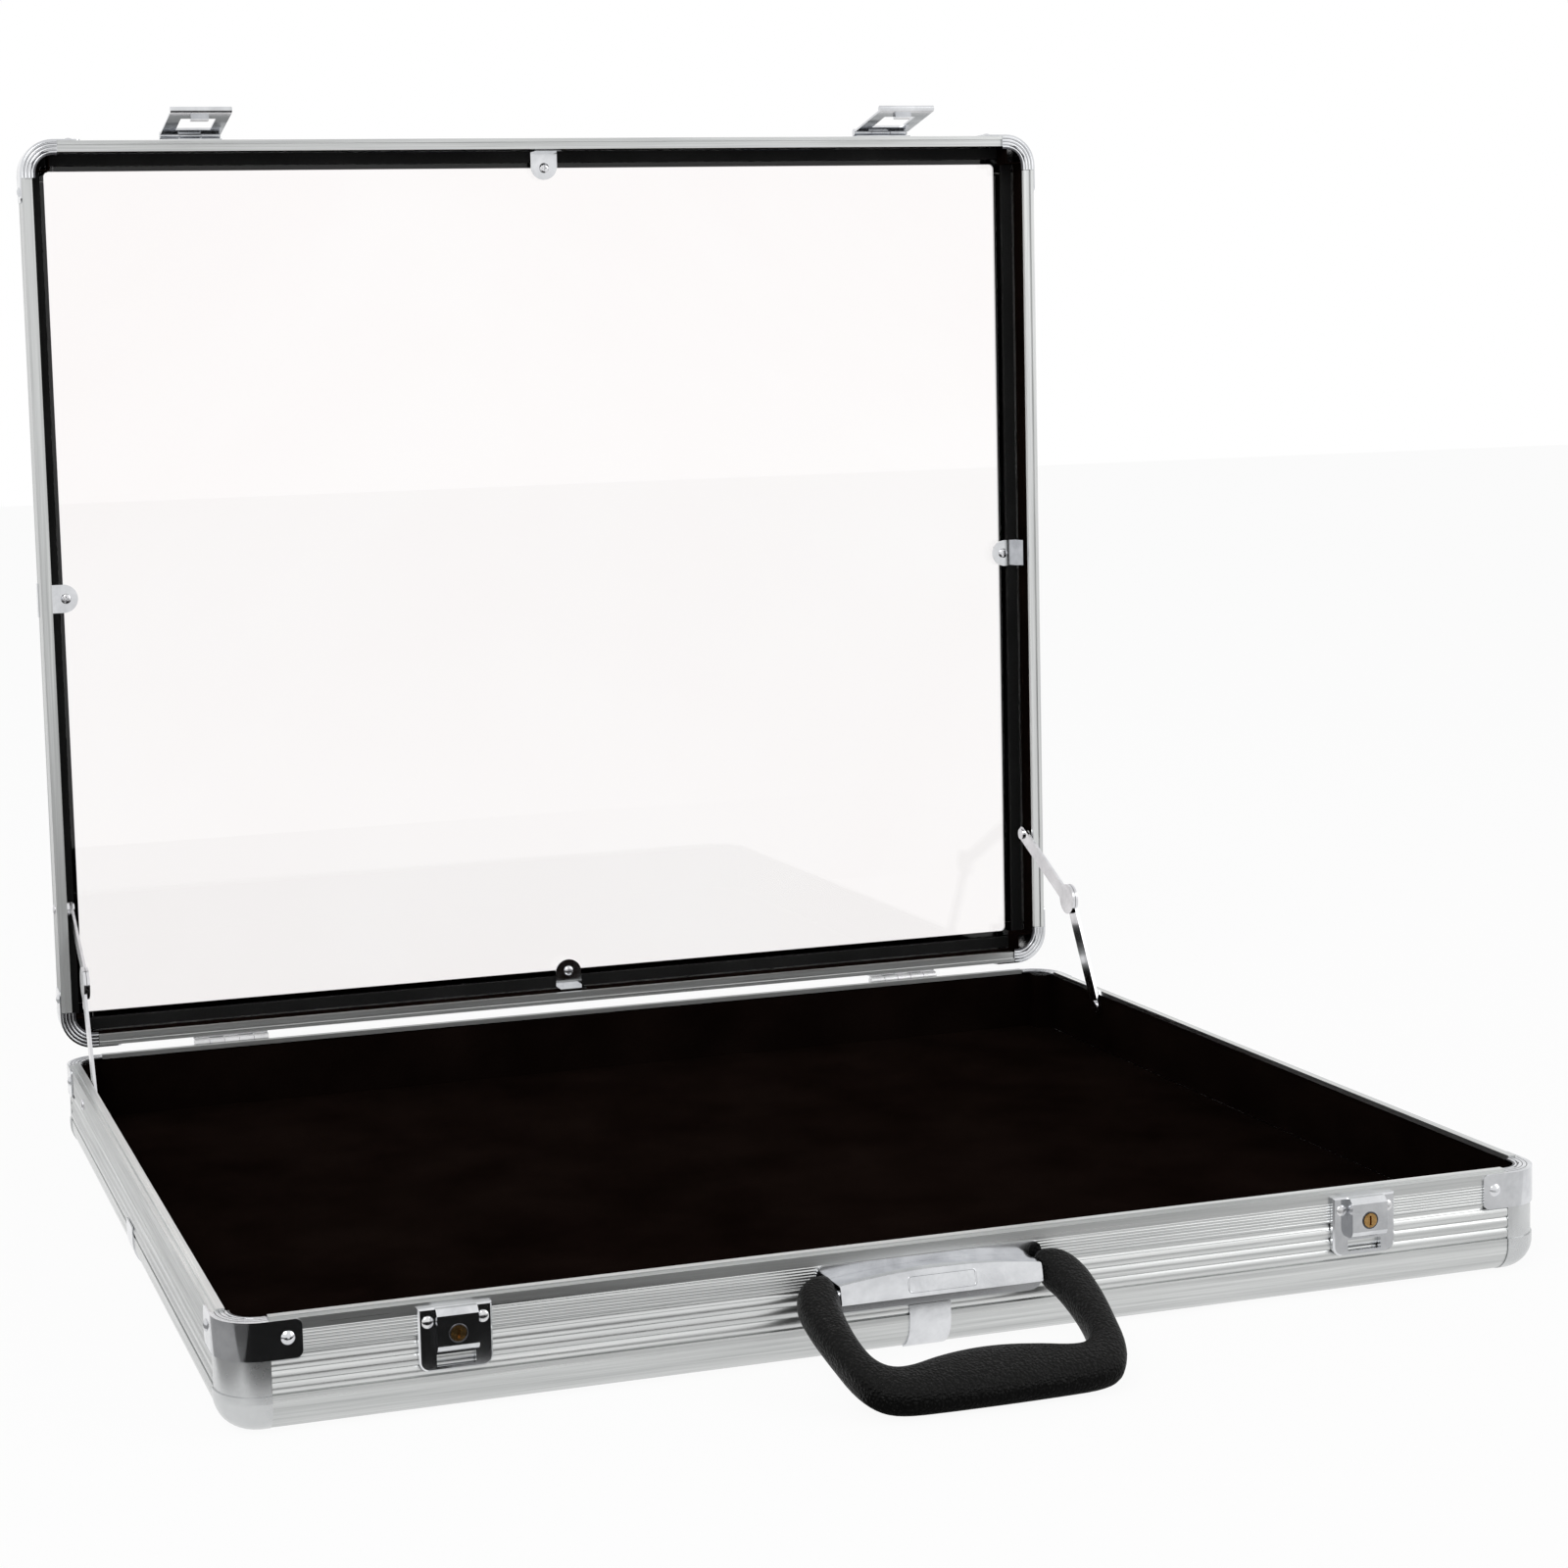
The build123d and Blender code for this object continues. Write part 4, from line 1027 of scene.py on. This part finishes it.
@dataclass
class KeyLock:
    """One key lock: plate, cover, brass cylinder with a dark ring of painted shade round it, and two rivets.
    """

    kit: Kit
    side: str
    middle_x: float
    plate_face: float = -256.5 * MM
    rivet_z: float = 40.3 * MM
    rivet_spread: float = 11.6 * MM
    rivet_radius: float = 2.6 * MM
    rivet_height: float = 1.2 * MM
    shade_ring_proud: float = 0.25 * MM
    shade_ring_radius: float = 3.6 * MM
    bead_radius: float = 0.5 * MM
    cover_face: float = -261.3 * MM
    cylinder_z: float = 36.0 * MM

    def build(self) -> None:
        """Make the rivets and the dark ring of painted shade round the cylinder, and finish the nodes."""
        finishes = self.kit.finishes
        seats = [((self.middle_x + way * self.rivet_spread, self.plate_face, self.rivet_z), (0.0, -1.0, 0.0))
                 for way in (-1, 1)]
        self.kit.rivets(f"lock_rivets_{self.side}", "base", "bright_chrome", finishes.hinge, seats,
                        self.rivet_radius, self.rivet_height)
        # A dark bead round the cylinder paints the shade that falls into the recess there.
        turns = [2 * math.pi * k / 32 for k in range(32)]
        ring = [(self.middle_x + self.shade_ring_radius * math.cos(turn), self.cover_face + self.shade_ring_proud,
                 self.cylinder_z + self.shade_ring_radius * math.sin(turn)) for turn in turns]
        self.kit.bead(f"lock_ring_{self.side}", "base", "bright_chrome", finishes.painted_shade, [(ring, True)],
                      self.bead_radius)
        paint_node(f"lock_plate_{self.side}", finishes.chrome)
        paint_node(f"lock_cover_{self.side}", finishes.chrome)
        paint_node(f"key_cylinder_{self.side}", finishes.brass)


@dataclass
class Hasp:
    """One hasp on the lid: plate with its rivets, flap and pin."""

    kit: Kit
    side: str
    middle_x: float
    rivet_up: float = 14.2 * MM
    rivet_spread: float = 12.5 * MM
    plate: float = 1.0 * MM
    head_radius: float = 1.7 * MM
    head_height: float = 0.7 * MM

    def build(self) -> None:
        """Make the plate's rivets and finish the nodes."""
        case, finishes = self.kit.case, self.kit.finishes
        face, height = -case.half_depth - self.plate, case.base_height + self.rivet_up
        seats = [(case.on_open_lid((self.middle_x + way * self.rivet_spread, face, height)), (0.0, 0.0, 1.0))
                 for way in (-1, 1)]
        self.kit.rivets(f"hasp_rivets_{self.side}", "lid", "bright_chrome", finishes.chrome, seats,
                        self.head_radius, self.head_height)
        paint_node(f"hasp_plate_{self.side}", finishes.chrome)
        paint_node(f"hasp_flap_{self.side}", finishes.chrome)
        paint_node(f"hasp_pin_{self.side}", finishes.chrome)


@dataclass
class CastBracket:
    """Cast bracket of the handle: arched top, leaning face and a blank raised panel.

    Its sizes are in millimetres, and its lean in degrees.
    """

    kit: Kit
    ends: tuple[float, float] = (-46.0, 46.0)
    bottom: float = 29.3
    end_top: float = 37.4
    arch: float = 3.0
    back: float = -255.05
    front: float = -269.0
    lean: float = 13.0
    panel_middle: tuple[float, float] = (0.0, 34.9)
    panel_half: tuple[float, float] = (15.3, 3.3)
    panel_corner: float = 1.3
    edge: float = 1.3
    bead_radius: float = 0.42
    bead_sunk: float = 0.2
    steps: int = 32

    def face_y(self, z: float) -> float:
        """Place of the leaning face at a height, in millimetres."""
        return self.front + (z - self.bottom - self.edge) * math.tan(math.radians(self.lean))

    def section(self, x: float) -> list[Point]:
        """Outline of the bracket across its length.

        Args:
            x: Station along the bracket in millimetres.

        Returns:
            The points in metres.
        """
        middle = sum(self.ends) / 2
        half = (self.ends[1] - self.ends[0]) / 2
        top = self.end_top + self.arch * (1 - ((x - middle) / half) ** 2)
        edge = self.edge
        outline = [(self.back, self.bottom), (self.front + edge, self.bottom),
                   (self.front + 0.4, self.bottom + 0.3), (self.front, self.bottom + edge),
                   (self.face_y(top - edge), top - edge), (self.face_y(top - 0.5) + 0.15, top - 0.5),
                   (self.face_y(top) + 0.7, top - 0.1), (self.face_y(top) + 1.5, top), (self.back, top)]
        return [(x * MM, y * MM, z * MM) for y, z in outline]

    def build(self) -> None:
        """Make the bracket and its panel."""
        chrome = self.kit.finishes.chrome
        left, right = self.ends
        rings = [self.section(left + (right - left) * step / self.steps) for step in range(self.steps + 1)]
        piece = mesh_object("cast_bracket", stacked_rings("cast_bracket", rings))
        dress(piece, "base", chrome, 30.0)
        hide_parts("handle_bracket")
        path = []
        for x, z in rounded_path(*self.panel_half, self.panel_corner):
            height = self.panel_middle[1] + z
            path.append(((self.panel_middle[0] + x) * MM, (self.face_y(height) + self.bead_sunk) * MM,
                         height * MM))
        self.kit.bead("bracket_panel_bead", "base", "bright_chrome", chrome, [(path, True)],
                      self.bead_radius * MM)


# Half of the grip's outline in its own plane, from the pivot to the middle of the bar: outer and inner
# edge at each station, in millimetres. The first number runs along the case and the second away from
# the pivots. The other half mirrors it, so the grip stays centred on its node.
GRIP_HALF_STATIONS: tuple[tuple[tuple[float, float], tuple[float, float]], ...] = (
    ((53.5, -7.5), (47.2, -7.0)), ((59.0, -5.8), (46.6, -4.0)), ((63.2, -1.8), (46.6, 0.0)),
    ((65.6, 6.0), (46.8, 5.0)), ((65.8, 14.0), (48.6, 11.0)), ((65.0, 26.0), (49.8, 22.0)),
    ((63.0, 40.0), (49.8, 34.0)), ((60.5, 54.0), (48.4, 44.0)), ((56.5, 64.0), (45.0, 49.5)),
    ((50.5, 70.2), (40.0, 51.6)), ((41.0, 73.0), (33.0, 51.0)), ((27.0, 73.8), (22.5, 48.2)),
    ((13.0, 74.1), (11.5, 46.3)), ((0.0, 74.2), (0.0, 45.6)),
)


@dataclass
class MouldedGrip:
    """Moulded grip, lofted through rounded sections from one pivot round to the other.

    Its sizes are in millimetres, and its drop in degrees. The pivot is its place in Y and Z.
    """

    kit: Kit
    pivot: tuple[float, float] = (-263.6, 32.5)
    drop: float = 21.3
    half_thickness: float = 7.5
    squareness: float = 2.7
    section_points: int = 24
    end_swell: float = 0.72
    swell_reach: float = 1.6
    bore_radius: float = 2.6
    bore_length: float = 116.0

    def place(self, x: float, away: float, height: float) -> Point:
        """Point in the case's frame from a place in the grip's plane and a height over it."""
        angle = math.radians(self.drop)
        y = self.pivot[0] - away * math.cos(angle) - height * math.sin(angle)
        z = self.pivot[1] - away * math.sin(angle) + height * math.cos(angle)
        return (x * MM, y * MM, z * MM)

    def section(self, outer: Vector, inner: Vector, swell: float) -> list[Point]:
        """Rounded section between the outer and the inner edge.

        Args:
            outer: Outer edge in the grip's plane.
            inner: Inner edge.
            swell: Share of the full thickness.

        Returns:
            The points in metres.
        """
        middle, reach = (outer + inner) / 2, (outer - inner) / 2
        points = []
        for number in range(self.section_points):
            angle = 2 * math.pi * number / self.section_points
            across = math.copysign(abs(math.cos(angle)) ** (2 / self.squareness), math.cos(angle))
            high = math.copysign(abs(math.sin(angle)) ** (2 / self.squareness), math.sin(angle))
            spot = middle + reach * across
            points.append(self.place(spot.x, spot.y, high * self.half_thickness * swell))
        return points

    @staticmethod
    def between(points: Sequence[Vector], number: int, part: float) -> Vector:
        """Point on the smooth curve through the points.

        Args:
            points: The points.
            number: The point before the wanted place.
            part: Share of the way to the next point.

        Returns:
            The place on the curve.
        """
        last = len(points) - 1
        a, b, c, d = (points[min(max(k, 0), last)] for k in (number - 1, number, number + 1, number + 2))
        return 0.5 * (2 * b + (c - a) * part + (2 * a - 5 * b + 4 * c - d) * part ** 2
                      + (3 * b - a - 3 * c + d) * part ** 3)

    def build(self) -> None:
        """Make the grip and bore it for the pins."""
        half = list(GRIP_HALF_STATIONS)
        mirrored = [((-outer[0], outer[1]), (-inner[0], inner[1])) for outer, inner in half]
        stations = mirrored + half[-2::-1]
        outers = [Vector(outer) for outer, _ in stations]
        inners = [Vector(inner) for _, inner in stations]
        rings = []
        total = len(stations) - 1
        for number in range(total):
            for part in (0.0, 1 / 3, 2 / 3):
                along = number + part
                near_end = min(along, total - along)
                full = math.sin(math.pi / 2 * min(near_end / self.swell_reach, 1.0))
                swell = min(1.0, self.end_swell + (1 - self.end_swell) * full)
                rings.append(self.section(self.between(outers, number, part),
                                          self.between(inners, number, part), swell))
        rings.append(self.section(outers[-1], inners[-1], self.end_swell))
        piece = mesh_object("moulded_grip", stacked_rings("moulded_grip", rings))
        bore = bmesh.new()
        turn = Matrix.Translation(self.place(0, 0, 0)) @ Matrix.Rotation(math.pi / 2, 4, "Y")
        bmesh.ops.create_cone(bore, cap_ends=True, segments=40, radius1=self.bore_radius * MM,
                              radius2=self.bore_radius * MM, depth=self.bore_length * MM, matrix=turn)
        bore_mesh = bpy.data.meshes.new("bore")
        bore.to_mesh(bore_mesh)
        bore.free()
        cutter = mesh_object("bore", bore_mesh)
        cut = piece.modifiers.new("bore", "BOOLEAN")
        cut.operation = "DIFFERENCE"
        cut.solver = "EXACT"
        cut.object = cutter
        finished = applied_mesh(piece)
        piece.modifiers.remove(cut)
        piece.data = finished
        bpy.data.objects.remove(cutter)
        dress(piece, "handle", self.kit.finishes.grip, 50.0)
        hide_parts("handle_grip")


@dataclass
class CarryHandle:
    """Back plate, bracket, pins and grip."""

    kit: Kit

    def build(self) -> None:
        """Make the bracket and the grip and finish the nodes that stay."""
        CastBracket(self.kit).build()
        MouldedGrip(self.kit).build()
        paint_node("handle_back_plate", self.kit.finishes.chrome)
        paint_node("handle_pins", self.kit.finishes.chrome)


@dataclass
class FoldingStay:
    """One folding stay: two arms, their pivots and the heads outside the walls."""

    kit: Kit
    side: str
    sign: int
    base_pivot: tuple[float, float] = (175.0 * MM, 39.0 * MM)
    lid_pivot: tuple[float, float] = (267.5 * MM, 130.5 * MM)
    head_radius: float = 3.0 * MM
    head_height: float = 1.2 * MM

    def build(self) -> None:
        """Make the outer heads and finish the nodes."""
        case, finishes = self.kit.case, self.kit.finishes
        x = self.sign * case.half_width
        outward = (float(self.sign), 0.0, 0.0)
        for half, pivot in (("base", self.base_pivot), ("lid", self.lid_pivot)):
            self.kit.rivets(f"stay_{half}_head_{self.side}", half, "stay_steel", finishes.stay,
                            [((x, *pivot), outward)], self.head_radius, self.head_height)
        for node in ("stay_lower_arm", "stay_upper_arm", "stay_base_pivot", "stay_lid_pivot"):
            paint_node(f"{node}_{self.side}", finishes.stay)


@dataclass
class Hinge:
    """One butt hinge with three rivets in each leaf."""

    kit: Kit
    side: str
    middle_x: float
    leaf_face: float = 255.2 * MM
    rivet_pitch: float = 14.0 * MM
    rivet_drop: float = 10.0 * MM
    head_radius: float = 1.8 * MM
    head_height: float = 0.7 * MM

    def build(self) -> None:
        """Make the rivets of both leaves and finish the nodes."""
        case, finishes = self.kit.case, self.kit.finishes
        offsets = (-self.rivet_pitch, 0.0, self.rivet_pitch)
        base = [((self.middle_x + x, self.leaf_face, case.base_height - self.rivet_drop), (0.0, 1.0, 0.0))
                for x in offsets]
        lid = [(case.on_open_lid((self.middle_x + x, self.leaf_face, case.base_height + self.rivet_drop)),
                (0.0, 0.0, -1.0)) for x in offsets]
        for half, seats in (("base", base), ("lid", lid)):
            self.kit.rivets(f"hinge_{half}_rivets_{self.side}", half, "bright_chrome", finishes.hinge, seats,
                            self.head_radius, self.head_height)
        for node in ("hinge_base_leaf", "hinge_lid_leaf", "hinge_pin"):
            paint_node(f"{node}_{self.side}", finishes.hinge)


@dataclass
class Studio:
    """Pale floor, soft lamps and the camera at the photograph's angle.

    seen_floor and seen_world are added for rays that show the background, so that it shows lighter than it
    lights the case. A lamp is its name, place, width and power in watts. A card is its name, its lowest and
    highest corner, its brightness at the dark and the light end, and the direction from dark to light.
    """

    focal_px: float = 2929.457
    image_px: float = 1600.0
    centre_px: tuple[float, float] = (558.327, 699.899)
    azimuth: float = -16.135
    elevation: float = 5.686
    roll: float = -1.784
    place: Point = (-0.48013, -1.35617, 0.40940)
    sensor: float = 36.0
    floor_grey: float = 0.86
    floor_reach: float = 12.0
    seen_floor: float = 0.93
    world_light: float = 0.55
    seen_world: float = 0.45
    aim: Point = (0.0, 0.0, 0.15)
    card_height: float = 0.5 * MM
    card_darkest: float = 0.012
    lamps: tuple = (
        ("key_lamp", (-1.4, -1.6, 2.2), 1.4, 26.0),
        ("fill_lamp", (1.9, -1.2, 1.3), 1.6, 12.0),
    )
    cards: tuple = (
        ("front_card", ((-0.62, -0.80), (0.66, -0.31)), -0.50, 0.92, (1.0, 0.1, 0.0)),
        ("left_card", ((-0.95, -0.62), (-0.36, 0.75)), 0.30, 0.6, (0.0, 1.0, 0.0)),
    )

    def make_camera(self) -> None:
        """Create the scene's camera."""
        azimuth, elevation, roll = (math.radians(v) for v in (self.azimuth, self.elevation, self.roll))
        back = Vector((math.sin(azimuth) * math.cos(elevation), -math.cos(azimuth) * math.cos(elevation),
                       math.sin(elevation)))
        level = Vector((math.cos(azimuth), math.sin(azimuth), 0.0))
        upright = back.cross(level)
        right = level * math.cos(roll) + upright * math.sin(roll)
        up = back.cross(right)
        data = bpy.data.cameras.new("camera")
        data.sensor_fit = "HORIZONTAL"
        data.sensor_width = self.sensor
        data.lens = self.focal_px / self.image_px * self.sensor
        data.shift_x = (self.image_px / 2 - self.centre_px[0]) / self.image_px
        data.shift_y = (self.centre_px[1] - self.image_px / 2) / self.image_px
        data.clip_start = 0.01
        camera = bpy.data.objects.new("camera", data)
        matrix = Matrix((right, up, back)).transposed().to_4x4()
        matrix.translation = self.place
        camera.matrix_world = matrix
        bpy.context.scene.collection.objects.link(camera)
        bpy.context.scene.camera = camera

    def make_floor(self) -> None:
        """Create the floor, which shows nearly white and keeps the case's shadow."""
        material, sketch = empty_material("pale_floor")
        matt = sketch.node("ShaderNodeBsdfDiffuse", Color=(*[self.floor_grey] * 3, 1.0))
        white = sketch.node("ShaderNodeEmission", Color=(1.0, 1.0, 1.0, 1.0), Strength=1.0)
        rays = sketch.node("ShaderNodeLightPath")
        seen = self.seen_share(sketch, rays, self.seen_floor)
        mixed = sketch.node("ShaderNodeMixShader", I0=seen)
        sketch.link(matt.outputs[0], mixed.inputs[1])
        sketch.link(white.outputs[0], mixed.inputs[2])
        output = sketch.node("ShaderNodeOutputMaterial")
        sketch.link(mixed.outputs[0], output.inputs[0])
        mesh = bpy.data.meshes.new("floor")
        reach = self.floor_reach
        mesh.from_pydata([(-reach, -reach, 0), (reach, -reach, 0), (reach, reach, 0), (-reach, reach, 0)], [],
                         [(0, 1, 2, 3)])
        mesh.materials.append(material)
        mesh_object("floor", mesh)

    @staticmethod
    def seen_share(sketch: ShaderSketch, rays: bpy.types.Node, share: float) -> bpy.types.NodeSocket:
        """Value that is a share for rays that show the background and 0 for light on surfaces.

        Args:
            sketch: Sketch of the material or world.
            rays: Light Path node.
            share: Value for camera, glossy and transmission rays.

        Returns:
            The socket.
        """
        first = sketch.node("ShaderNodeMath", operation="MAXIMUM", I0=rays.outputs["Is Camera Ray"],
                            I1=rays.outputs["Is Glossy Ray"])
        both = sketch.node("ShaderNodeMath", operation="MAXIMUM", I0=first.outputs[0],
                           I1=rays.outputs["Is Transmission Ray"])
        scaled = sketch.node("ShaderNodeMath", operation="MULTIPLY", I0=both.outputs[0], I1=share)
        return scaled.outputs[0]

    def make_world(self) -> None:
        """White backdrop that lights the case more softly than it shows."""
        world = bpy.data.worlds.new("backdrop")
        bpy.context.scene.world = world
        world.use_nodes = True
        world.node_tree.nodes.clear()
        sketch = ShaderSketch(world.node_tree)
        rays = sketch.node("ShaderNodeLightPath")
        more = self.seen_share(sketch, rays, self.seen_world)
        strength = sketch.node("ShaderNodeMath", operation="ADD", I0=more, I1=self.world_light)
        background = sketch.node("ShaderNodeBackground", Color=(1.0, 1.0, 1.0, 1.0),
                                 Strength=strength.outputs[0])
        output = sketch.node("ShaderNodeOutputWorld")
        sketch.link(background.outputs[0], output.inputs[0])

    def make_lamp(self, name: str, place: Point, size: float, power: float) -> None:
        """Create a soft square lamp that looks at the middle of the case.

        Args:
            name: Name of the lamp.
            place: Where it stands.
            size: Its width.
            power: Its power in watts.
        """
        data = bpy.data.lights.new(name, "AREA")
        data.size = size
        data.energy = power
        lamp = bpy.data.objects.new(name, data)
        toward = Vector(self.aim) - Vector(place)
        lamp.rotation_mode = "QUATERNION"
        lamp.rotation_quaternion = toward.to_track_quat("-Z", "Y")
        lamp.location = place
        bpy.context.scene.collection.objects.link(lamp)

    def make_flag(self, name: str, area: tuple[tuple[float, float], tuple[float, float]], dark: float,
                  light: float, way: Point) -> None:
        """Shaded card just over the floor that only gloss sees, for the dark bands in polished metal.

        Args:
            name: Name of the card.
            area: Its lowest and highest corner in X and Y.
            dark: Brightness at its start.
            light: Brightness at its end.
            way: Direction from dark to light.
        """
        (x_low, y_low), (x_high, y_high) = area
        material, sketch = empty_material(name)
        place = sketch.node("ShaderNodeTexCoord")
        along = sketch.node("ShaderNodeVectorMath", operation="DOT_PRODUCT",
                            I0=place.outputs["Object"], I1=way)
        ends = [Vector((x, y, 0.0)).dot(Vector(way)) for x in (x_low, x_high) for y in (y_low, y_high)]
        shade = sketch.node("ShaderNodeMapRange", interpolation_type="SMOOTHSTEP",
                            Value=along.outputs["Value"], From_Min=min(ends), From_Max=max(ends),
                            To_Min=dark, To_Max=light)
        floor_level = sketch.node("ShaderNodeMath", operation="MAXIMUM", I0=shade.outputs[0],
                                  I1=self.card_darkest)
        card_colour = sketch.node("ShaderNodeEmission", Color=floor_level.outputs[0], Strength=1.0)
        output = sketch.node("ShaderNodeOutputMaterial")
        sketch.link(card_colour.outputs[0], output.inputs[0])
        mesh = bpy.data.meshes.new(name)
        z = self.card_height
        corners = [(x_low, y_low, z), (x_high, y_low, z), (x_high, y_high, z), (x_low, y_high, z)]
        mesh.from_pydata(corners, [], [(0, 1, 2, 3)])
        mesh.materials.append(material)
        card = mesh_object(name, mesh)
        card.visible_camera = False
        card.visible_diffuse = False
        card.visible_transmission = False
        card.visible_shadow = False

    def build(self) -> None:
        """Set up camera, floor, backdrop, lamps and cards."""
        self.make_camera()
        self.make_floor()
        self.make_world()
        for lamp in self.lamps:
            self.make_lamp(*lamp)
        for card in self.cards:
            self.make_flag(*card)
        scene = bpy.context.scene
        scene.view_settings.view_transform = "Standard"
        log.info("studio ready")


def main() -> None:
    """Build every sub-assembly in order, then the studio."""
    kit = Kit()
    WallFrame(kit).dress_nodes()
    corner_trim = CornerTrim(kit)
    corner_trim.build()
    corner_trim.dress_nodes()
    FeltInterior(kit).build()
    LidGlazing(kit).build()
    for side, sign in (("left", -1), ("right", 1)):
        middle_x = sign * kit.case.lock_x
        KeyLock(kit, side, middle_x).build()
        Hasp(kit, side, middle_x).build()
        Hinge(kit, side, middle_x).build()
        FoldingStay(kit, side, sign).build()
    CarryHandle(kit).build()
    Studio().build()


if __name__ == "__main__":
    main()
